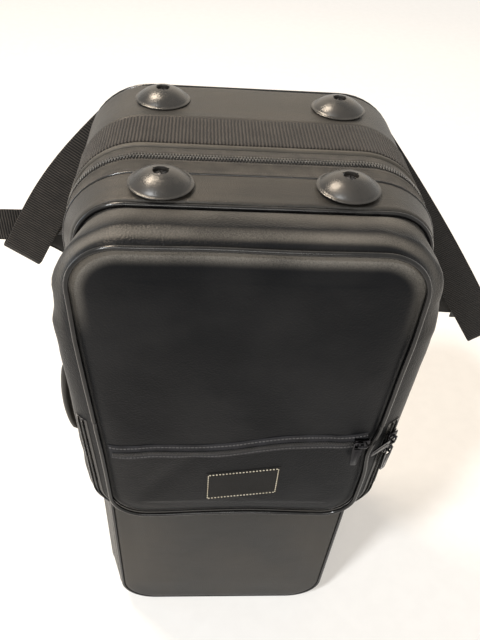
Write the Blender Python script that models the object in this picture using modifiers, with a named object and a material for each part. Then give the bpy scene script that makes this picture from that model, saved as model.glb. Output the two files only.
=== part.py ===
"""Alto saxophone case: two zipped shell halves, a front pocket, four feet, a side handle and shoulder straps.

The case stands on its neck end, as it was photographed, with its four feet on top. X runs across the
width, Y into the depth (the pocket faces -Y) and Z up. The origin lies on the standing surface, at mid
width, under the middle of the webbing band. Depths are counted from the lid's front face towards +Y, so
the pocket has negative depths. All sizes are in metres.
"""

import math

import bmesh
import bpy
from mathutils import Matrix, Vector

COLLECTION_NAME = "alto_saxophone_case"

# Shell outline
CASE_HEIGHT = 0.640
HALF_WIDTH_FOOT_END = 0.1565
HALF_WIDTH_NECK_END = 0.1505
RADIUS_FOOT_END = 0.066
RADIUS_NECK_END = 0.046
LID_FRONT_DRAW_IN_X = 0.017
LID_FRONT_DRAW_IN_Z = 0.002
LID_FRONT_RADIUS_FOOT_END = 0.040
LID_FRONT_RADIUS_NECK_END = 0.044

# Bands round the wall, front to back
LID_WALL_DEPTH = 0.044
LID_TAPE_WIDTH = 0.020
CHAIN_WIDTH = 0.008
BACK_TAPE_WIDTH = 0.012
BINDING_WIDTH = 0.007
WEBBING_WIDTH = 0.048
BACK_WALL_DEPTH = 0.073

# Skins and cores
GAP = 0.0003
COVER_THICKNESS = 0.0017
CORE_THICKNESS = 0.004
TAPE_THICKNESS = 0.0010
CHAIN_THICKNESS = 0.0020
CHAIN_STAND = 0.0005
BINDING_STAND = 0.0006
SEAM_STAND = 0.0006
SEAM_WIDTH = 0.0020
WEBBING_STAND = 0.0008
PIPING_RADIUS = 0.0020
CORNER_STEPS = 5

# Zip and hinge
ZIP_END_FOOT_SIDE = CASE_HEIGHT - 0.080
ZIP_END_NECK_SIDE = 0.060
HINGE_AXIS_STAND = 0.002

# Feet
FOOT_RADIUS = 0.025
FOOT_HEIGHT = 0.0115
FOOT_FLANGE_HEIGHT = 0.0016
FOOT_RECESS_RADIUS = 0.0058
FOOT_RECESS_DEPTH = 0.0048
FOOT_BORE_RADIUS = 0.0026
LID_FOOT_LEFT_X = -0.0732
LID_FOOT_LEFT_DEPTH = 0.0254
LID_FOOT_RIGHT_X = 0.0697
LID_FOOT_RIGHT_DEPTH = 0.0290
BACK_FOOT_LEFT_X = -0.0792
BACK_FOOT_LEFT_DEPTH = 0.1765
BACK_FOOT_RIGHT_X = 0.0835
BACK_FOOT_RIGHT_DEPTH = 0.1722
SCREW_HEAD_RADIUS = 0.0048
SCREW_HEAD_HEIGHT = 0.0026
SCREW_SHANK_RADIUS = 0.0020
ROUND_STEPS = 20

# Pocket
POCKET_DEPTH = 0.045
POCKET_BASE_HALF_FOOT_END = 0.1330
POCKET_BASE_HALF_NECK_END = 0.1285
POCKET_FACE_HALF_FOOT_END = 0.1305
POCKET_FACE_HALF_NECK_END = 0.1161
POCKET_BULGE_X = 0.0245
POCKET_BULGE_FALL = 0.20
POCKET_BEND_Z = CASE_HEIGHT - 0.095
POCKET_BULGE_TOP = 0.0080
POCKET_BULGE_BOTTOM = 0.0035
POCKET_LEAN_NECK_END = 0.0006
POCKET_LEAN_FOOT_END = 0.0068
POCKET_BASE_TOP = CASE_HEIGHT - 0.0075
POCKET_BASE_BOTTOM = 0.2935
POCKET_FACE_TOP = CASE_HEIGHT - 0.0122
POCKET_FACE_BOTTOM = 0.2970
POCKET_RADIUS_FOOT_END = 0.034
POCKET_RADIUS_NECK_END = 0.030
POCKET_WALL = 0.0020
POCKET_EDGE_DEPTH = 0.0030
POCKET_EDGE_WIDTH = 0.0045
POCKET_FOLD_Z = 0.445
POCKET_ZIP_DEPTH = 0.0340
POCKET_CHAIN_WIDTH = 0.0076
POCKET_CHAIN_THICKNESS = 0.0016

# Pocket front zip and label
FRONT_ZIP_END_ROOM = 0.0045
FRONT_ZIP_X = -0.0030
FRONT_ZIP_Z = 0.4145
FRONT_ZIP_TILT = 5.5
FRONT_TAPE_WIDTH = 0.020
FRONT_CHAIN_WIDTH = 0.0050
LABEL_WIDTH = 0.070
LABEL_HEIGHT = 0.043
LABEL_X = 0.0039
LABEL_Z = 0.3585
LABEL_SLANT = 0.18
LABEL_THICKNESS = 0.0010

# Zip sliders and pulls
SLIDER_LENGTH = 0.0140
SLIDER_WIDTH = 0.0120
SLIDER_THICKNESS = 0.0032
BAIL_WIDTH = 0.0030
BAIL_LENGTH = 0.0095
BAIL_BAR = 0.0012
BAIL_HOLE = 0.0028
PULL_THICKNESS = 0.0012
PULL_LENGTH = 0.0340
PULL_WIDTH = 0.0094
PULL_TIP_WIDTH = 0.0066
PULL_STRIP = 0.0014
PULL_WINDOW_LENGTH = 0.0100
MAIN_SLIDER_MEETING_Z = 0.470
POCKET_SLIDER_MEETING_Z = 0.4105
FRONT_SLIDER_FROM_END = 0.0055
SWUNG_PULL_RAISE = 0.0017

# Side handle
HANDLE_Z = 0.296
HANDLE_SPAN = 0.150
HANDLE_REACH = 0.046
HANDLE_WIDTH = 0.026
HANDLE_THICKNESS = 0.012
HANDLE_END_WIDTH = 0.0090
HANDLE_WIRE_RADIUS = 0.0020
HANDLE_AXIS_STAND = 0.0048
HANDLE_WIRE_REACH = 0.0290
BRACKET_LENGTH = 0.0120
BRACKET_WIDTH = 0.0160
BRACKET_BORE_RADIUS = 0.0024

# Shoulder straps
STRAP_WIDTH = 0.045
STRAP_THICKNESS = 0.0016
STRAP_STAND = 0.0005
STRAP_TURN_RADIUS = 0.0110
STRAP_START_X = 0.118
STRAP_START_Z = CASE_HEIGHT - 0.035
LEFT_STRAP_SLOPE = (-0.592, -0.806)
LEFT_STRAP_RUN = 0.214
LEFT_STRAP_RETURN = 0.050
LEFT_TAIL_LENGTH = 0.085
RIGHT_STRAP_SLOPE = (0.620, -0.785)
RIGHT_STRAP_RUN = 0.362
RIGHT_STRAP_RETURN = 0.045
STRAP_LOCK_LENGTH = 0.026
STRAP_LOCK_WIDTH = 0.054
STRAP_LOCK_THICKNESS = 0.0024
STRAP_PAD_WIDTH = 0.056
STRAP_PAD_THICKNESS = 0.008
STRAP_PAD_POINTS_LEFT = (
    (-0.236, 0.2430, 0.4580), (-0.206, 0.2450, 0.4420), (-0.165, 0.2450, 0.4050), (-0.120, 0.2400, 0.3350),
    (-0.080, 0.2310, 0.2450), (-0.052, 0.2220, 0.1700), (-0.038, 0.2172, 0.1050),
)
STRAP_PAD_POINTS_RIGHT = (
    (0.318, 0.2430, 0.3540), (0.286, 0.2450, 0.3560), (0.240, 0.2450, 0.3560), (0.180, 0.2420, 0.3260),
    (0.118, 0.2350, 0.2540), (0.066, 0.2240, 0.1760), (0.038, 0.2172, 0.1050),
)
ANCHOR_TOP = 0.118
ANCHOR_WIDTH = 0.150
ANCHOR_HEIGHT = 0.044
ANCHOR_THICKNESS = 0.009
SIDE_TAB_BELOW_TOP = 0.074
SIDE_TAB_LENGTH = 0.022
SIDE_TAB_STAND = 0.0042

# Inside
LINING_CLEARANCE = 0.0006
LID_PAD_THICKNESS = 0.018
INSERT_FACE_DEPTH = 0.084
TUBE_RECESS_X = -0.092
TUBE_RECESS_WIDTH = 0.066
TUBE_RECESS_LOW = 0.040
TUBE_RECESS_DEPTH = 0.066
BOW_RECESS_RADIUS = 0.072
BOW_RECESS_X = -0.034
BOW_RECESS_Z = CASE_HEIGHT - 0.095
BOW_RECESS_DEPTH = 0.076
BELL_RECESS_X = 0.048
BELL_RECESS_LOW = 0.262
BELL_MOUTH_RADIUS = 0.064
BELL_THROAT_RADIUS = 0.036
BOX_LEFT = -0.042
BOX_RIGHT = 0.132
BOX_LOW = 0.040
BOX_HIGH = 0.236
BOX_DEPTH = 0.070
BOX_WALL = 0.0030
BOX_LID_THICKNESS = 0.0030
BOX_LID_LIP = 0.0010

# Finishes: base colour, roughness, metallic
FINISHES = {
    "leatherette": ((0.030, 0.029, 0.028), 0.42, 0.0),
    "binding": ((0.090, 0.083, 0.074), 0.50, 0.0),
    "piping": ((0.022, 0.022, 0.023), 0.28, 0.0),
    "webbing": ((0.045, 0.041, 0.038), 0.80, 0.0),
    "tape": ((0.052, 0.049, 0.045), 0.85, 0.0),
    "coil": ((0.035, 0.034, 0.033), 0.38, 0.0),
    "pocket_leatherette": ((0.026, 0.028, 0.034), 0.38, 0.0),
    "rubber": ((0.060, 0.055, 0.050), 0.45, 0.0),
    "dark_metal": ((0.060, 0.060, 0.065), 0.32, 0.9),
    "steel": ((0.420, 0.420, 0.430), 0.30, 1.0),
    "shell_board": ((0.200, 0.150, 0.100), 0.75, 0.0),
    "plush": ((0.050, 0.050, 0.060), 0.95, 0.0),
    "label_fabric": ((0.020, 0.020, 0.022), 0.75, 0.0),
    "pad_fabric": ((0.030, 0.030, 0.032), 0.85, 0.0),
    "black_plastic": ((0.025, 0.025, 0.026), 0.40, 0.0),
}

# Depths of the bands' edges
PARTING_DEPTH = LID_WALL_DEPTH + LID_TAPE_WIDTH + CHAIN_WIDTH / 2
BINDING_START = PARTING_DEPTH + CHAIN_WIDTH / 2 + BACK_TAPE_WIDTH
WEBBING_START = BINDING_START + BINDING_WIDTH
WEBBING_END = WEBBING_START + WEBBING_WIDTH
CASE_DEPTH = WEBBING_END + BACK_WALL_DEPTH
ORIGIN_DEPTH = (WEBBING_START + WEBBING_END) / 2
CORE_INSET = COVER_THICKNESS + GAP
INNER_INSET = CORE_INSET + CORE_THICKNESS


def clear_scene():
    """Remove every object that the scene holds."""
    for old in list(bpy.data.objects):
        bpy.data.objects.remove(old, do_unlink=True)


def new_collection(name):
    """Make a collection, link it to the scene and return it."""
    collection = bpy.data.collections.new(name)
    bpy.context.scene.collection.children.link(collection)
    return collection


def finish_material(name, finish):
    """Return a new material with the colour, roughness and metallic value of one finish."""
    colour, roughness, metallic = FINISHES[finish]
    material = bpy.data.materials.new(f"{name}_{finish}")
    material.use_nodes = True
    shader = material.node_tree.nodes["Principled BSDF"]
    shader.inputs["Base Color"].default_value = (*colour, 1.0)
    shader.inputs["Roughness"].default_value = roughness
    shader.inputs["Metallic"].default_value = metallic
    material.diffuse_color = (*colour, 1.0)
    return material


def add_object(name, mesh, finish):
    """Add a mesh as one named part of the case."""
    obj = bpy.data.objects.new(name, mesh)
    PARTS.objects.link(obj)
    mesh.materials.append(finish_material(name, finish))
    return obj


def add_cutter(name, mesh):
    """Add a mesh as a cutter, which is shown as wire and left out of the part."""
    obj = bpy.data.objects.new(name, mesh)
    CUTTERS.objects.link(obj)
    obj.hide_render = True
    obj.display_type = "WIRE"
    return obj


def mesh_from(bm, name):
    """Turn a bmesh into a mesh with outward faces."""
    bmesh.ops.recalc_face_normals(bm, faces=bm.faces)
    mesh = bpy.data.meshes.new(name)
    bm.to_mesh(mesh)
    bm.free()
    return mesh


def at_depth(depth):
    """Return the Y coordinate of a depth behind the lid's front face."""
    return depth - ORIGIN_DEPTH


def boolean(obj, cutter, operation="DIFFERENCE"):
    """Cut an object by a cutter, or join the two."""
    modifier = obj.modifiers.new(f"{operation.lower()}_{cutter.name}", "BOOLEAN")
    modifier.operation = operation
    modifier.solver = "EXACT"
    modifier.object = cutter


def box_mesh(name, low, high):
    """Return a box between two corners."""
    bm = bmesh.new()
    size = Vector(high) - Vector(low)
    centre = (Vector(high) + Vector(low)) / 2
    bmesh.ops.create_cube(bm, size=1.0, matrix=Matrix.Translation(centre) @ Matrix.Diagonal((*size, 1.0)))
    return mesh_from(bm, name)


def cone_mesh(name, start, end, radius_start, radius_end, steps=ROUND_STEPS):
    """Return a cylinder or cone between two points."""
    start, end = Vector(start), Vector(end)
    axis = end - start
    turn = axis.to_track_quat("Z", "Y").to_matrix().to_4x4()
    bm = bmesh.new()
    bmesh.ops.create_cone(
        bm, cap_ends=True, segments=steps, radius1=radius_start, radius2=radius_end, depth=axis.length,
        matrix=Matrix.Translation((start + end) / 2) @ turn,
    )
    return mesh_from(bm, name)


# Outlines and lofts


def rounded_outline(half_at, low, high, radius_low, radius_high, ends=None, bend=None):
    """Return an outline as (x, z) pairs, counterclockwise seen from the front.

    half_at gives the half width at a height. With ends, the outline is open: it starts on the right
    side at the first height, goes over the top and the bottom, and stops on the right side at the second.
    With bend, each side gets one more point, at that height, between its two corners.
    """
    corners = []
    for side, centre_z, radius, start in (
        (1, low + radius_low, radius_low, -90), (1, high - radius_high, radius_high, 0),
        (-1, high - radius_high, radius_high, 90), (-1, low + radius_low, radius_low, 180),
    ):
        centre_x = side * (half_at(centre_z) - radius)
        angles = [math.radians(start + 90 * k / CORNER_STEPS) for k in range(CORNER_STEPS + 1)]
        corners.append([(centre_x + radius * math.cos(a), centre_z + radius * math.sin(a)) for a in angles])
    if bend is not None:
        corners[0].append((half_at(bend), bend))
        corners[2].append((-half_at(bend), bend))
    if ends is None:
        return [point for corner in corners for point in corner]
    first, last = ends
    middle = [point for corner in corners[1:] + corners[:1] for point in corner]
    return [(half_at(first), first)] + middle + [(half_at(last), last)]


def half_width(z):
    """Return half of the case's width at a height, behind the lid's leaning wall."""
    return HALF_WIDTH_NECK_END + (HALF_WIDTH_FOOT_END - HALF_WIDTH_NECK_END) * z / CASE_HEIGHT


def case_section(depth, inset=0.0, ends=None):
    """Return the ring of points that the case's outline makes at a depth, drawn in by an inset.

    A negative inset stands proud of the wall, but never reaches below the standing surface.
    """
    lean = max(0.0, 1.0 - depth / LID_WALL_DEPTH)
    radius_high = RADIUS_FOOT_END + (LID_FRONT_RADIUS_FOOT_END - RADIUS_FOOT_END) * lean - inset
    radius_low = RADIUS_NECK_END + (LID_FRONT_RADIUS_NECK_END - RADIUS_NECK_END) * lean - inset
    low = max(inset, 0.0) + LID_FRONT_DRAW_IN_Z * lean
    high = CASE_HEIGHT - LID_FRONT_DRAW_IN_Z * lean - inset
    outline = rounded_outline(
        lambda z: half_width(z) - LID_FRONT_DRAW_IN_X * lean - inset, low, high, radius_low, radius_high, ends
    )
    return [Vector((x, at_depth(depth), z)) for x, z in outline]


def pocket_section(depth, inset=0.0, ends=None):
    """Return the ring of points that the pocket's outline makes at a depth in front of the lid."""
    share = depth / POCKET_DEPTH
    bulge = math.sin(math.pi * share)

    def half_at(z):
        rise = pocket_rise(z)
        base = POCKET_BASE_HALF_NECK_END + (POCKET_BASE_HALF_FOOT_END - POCKET_BASE_HALF_NECK_END) * rise
        face = POCKET_FACE_HALF_NECK_END + (POCKET_FACE_HALF_FOOT_END - POCKET_FACE_HALF_NECK_END) * rise
        swell = POCKET_BULGE_X - POCKET_BULGE_FALL * max(0.0, z - POCKET_BEND_Z)
        return base + (face - base) * share + swell * bulge - inset

    low = POCKET_BASE_BOTTOM + (POCKET_FACE_BOTTOM - POCKET_BASE_BOTTOM) * share - POCKET_BULGE_BOTTOM * bulge
    high = POCKET_BASE_TOP + (POCKET_FACE_TOP - POCKET_BASE_TOP) * share + POCKET_BULGE_TOP * math.sqrt(bulge)
    outline = rounded_outline(
        half_at, low + inset, high - inset,
        POCKET_RADIUS_NECK_END + POCKET_BULGE_X * bulge / 2 - inset,
        POCKET_RADIUS_FOOT_END + POCKET_BULGE_X * bulge * 5 / 4 - inset, ends, POCKET_BEND_Z,
    )
    return [Vector((x + pocket_lean(depth, z), at_depth(-depth), z)) for x, z in outline]


def pocket_rise(z):
    """Return how far a height lies from the pocket's bottom to its top, as a share."""
    return (z - POCKET_BASE_BOTTOM) / (POCKET_BASE_TOP - POCKET_BASE_BOTTOM)


def pocket_lean(depth, z):
    """Return how far the soft pocket hangs to the left at a depth and a height, as a negative length."""
    hang = POCKET_LEAN_NECK_END + (POCKET_LEAN_FOOT_END - POCKET_LEAN_NECK_END) * pocket_rise(z)
    return -hang * depth / POCKET_DEPTH


def loft(name, rings, cyclic=True, cap_first=False, cap_last=False):
    """Skin rings of equal point counts, front to back, with outward faces."""
    bm = bmesh.new()
    loops = [[bm.verts.new(point) for point in ring] for ring in rings]
    count = len(loops[0])
    for near, far in zip(loops, loops[1:]):
        for i in range(count if cyclic else count - 1):
            j = (i + 1) % count
            bm.faces.new((near[i], far[i], far[j], near[j]))
    if cap_first:
        bm.faces.new(loops[0])
    if cap_last:
        bm.faces.new(loops[-1][::-1])
    mesh = bpy.data.meshes.new(name)
    bm.to_mesh(mesh)
    bm.free()
    return mesh


def skin(name, rings, thickness, finish, **options):
    """Add a thin wall: lofted rings thickened inwards."""
    obj = add_object(name, loft(name, rings, **options), finish)
    modifier = obj.modifiers.new("thickness", "SOLIDIFY")
    modifier.thickness = thickness
    modifier.offset = -1.0
    modifier.use_even_offset = True
    return obj


def band(name, start, end, stand, finish, inner=COVER_THICKNESS, ends=None):
    """Add a band round the case between two depths, from a height above the wall to an inset below it."""
    first, last = (start + GAP / 2, end - GAP / 2)
    rings = [case_section(depth, inset, ends) for depth, inset in (
        (first, -stand), (last, -stand), (last, inner), (first, inner),
    )]
    return add_object(name, hoop(name, rings, ends is None), finish)


def hoop(name, rings, cyclic):
    """Return a solid band skinned over its four edge rings, closed in itself or at its two ends."""
    bm = bmesh.new()
    loops = [[bm.verts.new(point) for point in ring] for ring in rings]
    count = len(loops[0])
    for near, far in zip(loops, loops[1:] + loops[:1]):
        for i in range(count if cyclic else count - 1):
            j = (i + 1) % count
            bm.faces.new((near[i], far[i], far[j], near[j]))
    if not cyclic:
        bm.faces.new([loop[0] for loop in loops])
        bm.faces.new([loop[-1] for loop in loops])
    return mesh_from(bm, name)


def tube(name, points, radius, finish, cyclic=False, resolution=1):
    """Add a round tube along a polyline, as a bevelled curve turned into a mesh."""
    curve = bpy.data.curves.new(name, "CURVE")
    curve.dimensions = "3D"
    curve.bevel_depth = radius
    curve.bevel_resolution = resolution
    curve.use_fill_caps = True
    spline = curve.splines.new("POLY")
    spline.points.add(len(points) - 1)
    for slot, point in zip(spline.points, points):
        slot.co = (*point, 1.0)
    spline.use_cyclic_u = cyclic
    return mesh_object_from_curve(name, curve, finish)


def plate(name, outline, windows, thickness, frame, finish):
    """Add a flat plate from 2D outlines, centred on its frame's XY plane."""
    curve = bpy.data.curves.new(name, "CURVE")
    curve.dimensions = "2D"
    curve.fill_mode = "BOTH"
    curve.extrude = thickness / 2
    for loop in [outline] + windows:
        spline = curve.splines.new("POLY")
        spline.points.add(len(loop) - 1)
        for slot, (x, y) in zip(spline.points, loop):
            slot.co = (x, y, 0.0, 1.0)
        spline.use_cyclic_u = True
    return mesh_object_from_curve(name, curve, finish, frame)


def mesh_object_from_curve(name, curve, finish, frame=None):
    """Turn a curve into a closed mesh object, with its caps welded on."""
    helper = bpy.data.objects.new(name + "_curve", curve)
    bpy.context.scene.collection.objects.link(helper)
    depsgraph = bpy.context.evaluated_depsgraph_get()
    mesh = bpy.data.meshes.new_from_object(helper.evaluated_get(depsgraph))
    bpy.data.objects.remove(helper)
    bm = bmesh.new()
    bm.from_mesh(mesh)
    bmesh.ops.remove_doubles(bm, verts=bm.verts, dist=0.00001)
    if frame is not None:
        bmesh.ops.transform(bm, matrix=frame, verts=bm.verts)
    bpy.data.meshes.remove(mesh)
    return add_object(name, mesh_from(bm, name), finish)


def frame_of(origin, normal, travel):
    """Return a frame at a point: X along the normal, Z along the travel, Y across."""
    z = Vector(travel).normalized()
    x = Vector(normal)
    x = (x - x.dot(z) * z).normalized()
    y = z.cross(x)
    matrix = Matrix((x, y, z)).transposed().to_4x4()
    matrix.translation = Vector(origin)
    return matrix


def pivot(name, origin):
    """Add an empty that stands on a joint's axis."""
    empty = bpy.data.objects.new(name, None)
    PARTS.objects.link(empty)
    empty.location = origin
    return empty


def carry(empty, *children):
    """Parent objects to a joint's empty and leave them where they are."""
    bpy.context.view_layer.update()
    for child in children:
        child.parent = empty
        child.matrix_parent_inverse = empty.matrix_world.inverted()


# Shell halves


def screw_places():
    """Return the feet as (name, x, depth, seat height)."""
    seat_back = CASE_HEIGHT + GAP
    seat_lid = CASE_HEIGHT + SEAM_STAND + GAP
    return [
        ("lid_left", LID_FOOT_LEFT_X, LID_FOOT_LEFT_DEPTH, seat_lid),
        ("lid_right", LID_FOOT_RIGHT_X, LID_FOOT_RIGHT_DEPTH, seat_lid),
        ("back_left", BACK_FOOT_LEFT_X, BACK_FOOT_LEFT_DEPTH, seat_back),
        ("back_right", BACK_FOOT_RIGHT_X, BACK_FOOT_RIGHT_DEPTH, seat_back),
    ]


def drill_foot_screws(obj, half):
    """Drill the holes for a half's two foot screws through its end wall."""
    for name, x, depth, seat in screw_places():
        if not name.startswith(half):
            continue
        y = at_depth(depth)
        mesh = cone_mesh(
            f"hole_{obj.name}_{name}", (x, y, CASE_HEIGHT - INNER_INSET - 2 * CORE_THICKNESS), (x, y, seat + GAP),
            SCREW_SHANK_RADIUS + GAP, SCREW_SHANK_RADIUS + GAP, 10,
        )
        boolean(obj, add_cutter(mesh.name, mesh))


def build_back_shell():
    """Add the back half's board core, its covers, piping, webbing, binding and zip side."""
    edge = 2 * PIPING_RADIUS + GAP
    corner = edge + CORE_INSET
    core = skin("back_core", [
        case_section(PARTING_DEPTH + GAP, CORE_INSET),
        case_section(CASE_DEPTH - corner, CORE_INSET),
        case_section(CASE_DEPTH - CORE_INSET, corner),
    ], CORE_THICKNESS, "shell_board", cap_last=True)
    wall_cover = band("back_wall_cover", WEBBING_END, CASE_DEPTH - edge, 0.0, "leatherette")
    drill_foot_screws(core, "back")
    drill_foot_screws(wall_cover, "back")
    skin("back_panel_cover", [case_section(CASE_DEPTH, edge)], COVER_THICKNESS, "leatherette", cap_last=True)
    tube("back_piping", case_section(CASE_DEPTH - PIPING_RADIUS, PIPING_RADIUS), PIPING_RADIUS, "piping", cyclic=True)
    band("webbing_band", WEBBING_START, WEBBING_END, WEBBING_STAND, "webbing")
    band("back_binding", BINDING_START, WEBBING_START, BINDING_STAND, "binding")
    ends = (ZIP_END_FOOT_SIDE, ZIP_END_NECK_SIDE)
    tape_start = PARTING_DEPTH + CHAIN_WIDTH / 2
    tape_stand = TAPE_THICKNESS - COVER_THICKNESS
    coil_inset = CHAIN_THICKNESS - CHAIN_STAND
    band("back_zip_tape", tape_start, BINDING_START, tape_stand, "tape", ends=ends)
    band("back_zip_coil", PARTING_DEPTH, tape_start, CHAIN_STAND, "coil", coil_inset, ends)


def build_lid_shell():
    """Add the lid's board core, its covers, piping, seam edge and zip side, and return its objects."""
    edge = 2 * PIPING_RADIUS + GAP
    corner = edge + CORE_INSET
    core = skin("lid_core", [
        case_section(CORE_INSET, corner),
        case_section(corner, CORE_INSET),
        case_section(LID_WALL_DEPTH, CORE_INSET),
        case_section(PARTING_DEPTH - GAP, CORE_INSET),
    ], CORE_THICKNESS, "shell_board", cap_first=True)
    wall_end = LID_WALL_DEPTH - SEAM_WIDTH
    wall_cover = band("lid_wall_cover", edge, wall_end, 0.0, "leatherette")
    drill_foot_screws(core, "lid")
    drill_foot_screws(wall_cover, "lid")
    ends = (ZIP_END_FOOT_SIDE, ZIP_END_NECK_SIDE)
    tape_end = PARTING_DEPTH - CHAIN_WIDTH / 2
    tape_stand = TAPE_THICKNESS - COVER_THICKNESS
    return [
        core, wall_cover,
        skin("lid_front_cover", [case_section(0.0, edge)], COVER_THICKNESS, "leatherette", cap_first=True),
        tube("lid_piping", case_section(PIPING_RADIUS, PIPING_RADIUS), PIPING_RADIUS, "piping", cyclic=True),
        band("lid_seam_edge", wall_end, LID_WALL_DEPTH, SEAM_STAND, "piping"),
        band("lid_zip_tape", LID_WALL_DEPTH, tape_end, tape_stand, "tape", ends=ends),
        band("lid_zip_coil", tape_end, PARTING_DEPTH, CHAIN_STAND, "coil", CHAIN_THICKNESS - CHAIN_STAND, ends),
    ]


def build_hinge_strip():
    """Add the covering strip that spans the parting line on the right side, where the lid hinges."""
    heights = (ZIP_END_NECK_SIDE + GAP, ZIP_END_FOOT_SIDE - GAP)
    rings = []
    for depth in (LID_WALL_DEPTH + GAP / 2, BINDING_START - GAP / 2):
        rings.append([Vector((half_width(z), at_depth(depth), z)) for z in heights])
    return skin("hinge_strip", rings, COVER_THICKNESS, "leatherette", cyclic=False)


# Feet and their screws


def build_foot(name, x, depth, seat):
    """Add one rubber dome and the screw in its crown."""
    recess_floor = FOOT_HEIGHT - FOOT_RECESS_DEPTH
    dome_rise = FOOT_HEIGHT - FOOT_FLANGE_HEIGHT
    dome_base = FOOT_RADIUS - FOOT_FLANGE_HEIGHT
    ball = (dome_base ** 2 + dome_rise ** 2) / (2 * dome_rise)
    profile = []
    for k in range(7):
        reach = FOOT_RECESS_RADIUS + (dome_base - FOOT_RECESS_RADIUS) * k / 6
        profile.append((reach, FOOT_HEIGHT - ball + math.sqrt(ball ** 2 - reach ** 2)))
    profile += [(FOOT_RADIUS, FOOT_FLANGE_HEIGHT), (FOOT_RADIUS - GAP, 0.0), (FOOT_BORE_RADIUS, 0.0)]
    profile += [(FOOT_BORE_RADIUS, recess_floor), (FOOT_RECESS_RADIUS, recess_floor)]
    y = at_depth(depth)
    foot = turned(f"foot_{name}", profile, (x, y, seat), "rubber")
    head_seat = seat + recess_floor + GAP
    head = cone_mesh(
        f"foot_screw_{name}", (x, y, head_seat), (x, y, head_seat + SCREW_HEAD_HEIGHT),
        SCREW_HEAD_RADIUS, SCREW_HEAD_RADIUS * 0.8, 12,
    )
    screw = add_object(head.name, head, "steel")
    shank = cone_mesh(
        f"shank_{name}", (x, y, CASE_HEIGHT - INNER_INSET), (x, y, head_seat + SCREW_HEAD_HEIGHT / 2),
        SCREW_SHANK_RADIUS, SCREW_SHANK_RADIUS, 10,
    )
    boolean(screw, add_cutter(shank.name, shank), "UNION")
    return [foot, screw]


def turned(name, profile, place, finish):
    """Add a turned solid: a closed profile swept round Z by a Screw modifier."""
    bm = bmesh.new()
    points = [bm.verts.new((radius, 0.0, height)) for radius, height in profile]
    for here, there in zip(points, points[1:] + points[:1]):
        bm.edges.new((here, there))
    mesh = bpy.data.meshes.new(name)
    bm.to_mesh(mesh)
    bm.free()
    obj = add_object(name, mesh, finish)
    obj.location = place
    modifier = obj.modifiers.new("turn", "SCREW")
    modifier.angle = math.tau
    modifier.steps = ROUND_STEPS
    modifier.render_steps = ROUND_STEPS
    modifier.use_merge_vertices = True
    modifier.merge_threshold = 0.00001
    return obj


# Pocket


def pocket_rings():
    """Return the pocket's rings from its front panel back to the lid."""
    front = POCKET_DEPTH
    shoulder = front - POCKET_EDGE_DEPTH
    rings = [[Vector((p.x, at_depth(-front), p.z)) for p in pocket_section(shoulder, POCKET_EDGE_WIDTH)]]
    stations = 5
    for k in range(stations + 1):
        rings.append(pocket_section(shoulder + (GAP - shoulder) * k / stations))
    return rings


def pocket_split_cutter(name, clearance):
    """Return a box round the pocket's flap: below the fold and in front of the zip."""
    reach = 2 * HALF_WIDTH_FOOT_END
    low = (-reach, at_depth(-3 * POCKET_DEPTH), POCKET_BASE_BOTTOM - POCKET_DEPTH)
    high = (reach, at_depth(-POCKET_ZIP_DEPTH - clearance), POCKET_FOLD_Z - clearance)
    return add_cutter(name, box_mesh(name, low, high))


def build_pocket():
    """Add the pocket's fixed part and its flap with their piping and zip, and return both lists."""
    body = skin("pocket_body", pocket_rings(), POCKET_WALL, "pocket_leatherette", cap_first=True)
    boolean(body, pocket_split_cutter("pocket_flap_space", -GAP / 2))
    flap = skin("pocket_flap", pocket_rings(), POCKET_WALL, "pocket_leatherette", cap_first=True)
    boolean(flap, pocket_split_cutter("pocket_flap_box", GAP / 2), "INTERSECT")
    upper, lower = build_pocket_piping()
    body_coil, flap_coil = build_pocket_coils()
    return [body, upper, body_coil], [flap, lower, flap_coil]


def pocket_piping_place():
    """Return the depth and inset of the piping's centre, which lies on the panel's bevelled edge."""
    off = Vector((POCKET_EDGE_WIDTH, -POCKET_EDGE_DEPTH)).normalized() * (PIPING_RADIUS + GAP)
    return POCKET_DEPTH - POCKET_EDGE_DEPTH / 2 + off.x, POCKET_EDGE_WIDTH / 2 + off.y


def build_pocket_piping():
    """Add the piping round the front panel, as one piece above the fold and one below it."""
    depth, inset = pocket_piping_place()
    ring = pocket_section(POCKET_DEPTH - POCKET_EDGE_DEPTH, inset)
    route = [Vector((p.x, at_depth(-depth), p.z)) for p in ring]
    right_low, right_high = route[CORNER_STEPS], route[CORNER_STEPS + 1]
    left_high, left_low = route[3 * CORNER_STEPS + 4], route[3 * CORNER_STEPS + 5]
    above = POCKET_FOLD_Z + GAP / 2
    below = POCKET_FOLD_Z - GAP / 2
    upper = [at_height(right_low, right_high, above)] + route[CORNER_STEPS + 1:3 * CORNER_STEPS + 5]
    upper.append(at_height(left_high, left_low, above))
    lower = [at_height(left_high, left_low, below)] + route[3 * CORNER_STEPS + 5:]
    lower += route[:CORNER_STEPS + 1] + [at_height(right_low, right_high, below)]
    return (
        tube("pocket_piping_upper", upper, PIPING_RADIUS, "piping"),
        tube("pocket_piping_flap", lower, PIPING_RADIUS, "piping"),
    )


def at_height(start, end, z):
    """Return the point at a height on the line through two points."""
    return start + (end - start) * ((z - start.z) / (end.z - start.z))


def coil_ring(depth, stand):
    """Return the line of the gusset zip at a depth: down the left side, round the bottom and up the right."""
    top = POCKET_FOLD_Z - GAP
    ring = pocket_section(depth, -stand)
    right_low, right_high = ring[CORNER_STEPS], ring[CORNER_STEPS + 1]
    left_high, left_low = ring[3 * CORNER_STEPS + 4], ring[3 * CORNER_STEPS + 5]
    line = [at_height(left_high, left_low, top)] + ring[3 * CORNER_STEPS + 5:] + ring[:CORNER_STEPS + 1]
    return line + [at_height(right_low, right_high, top)]


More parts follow.
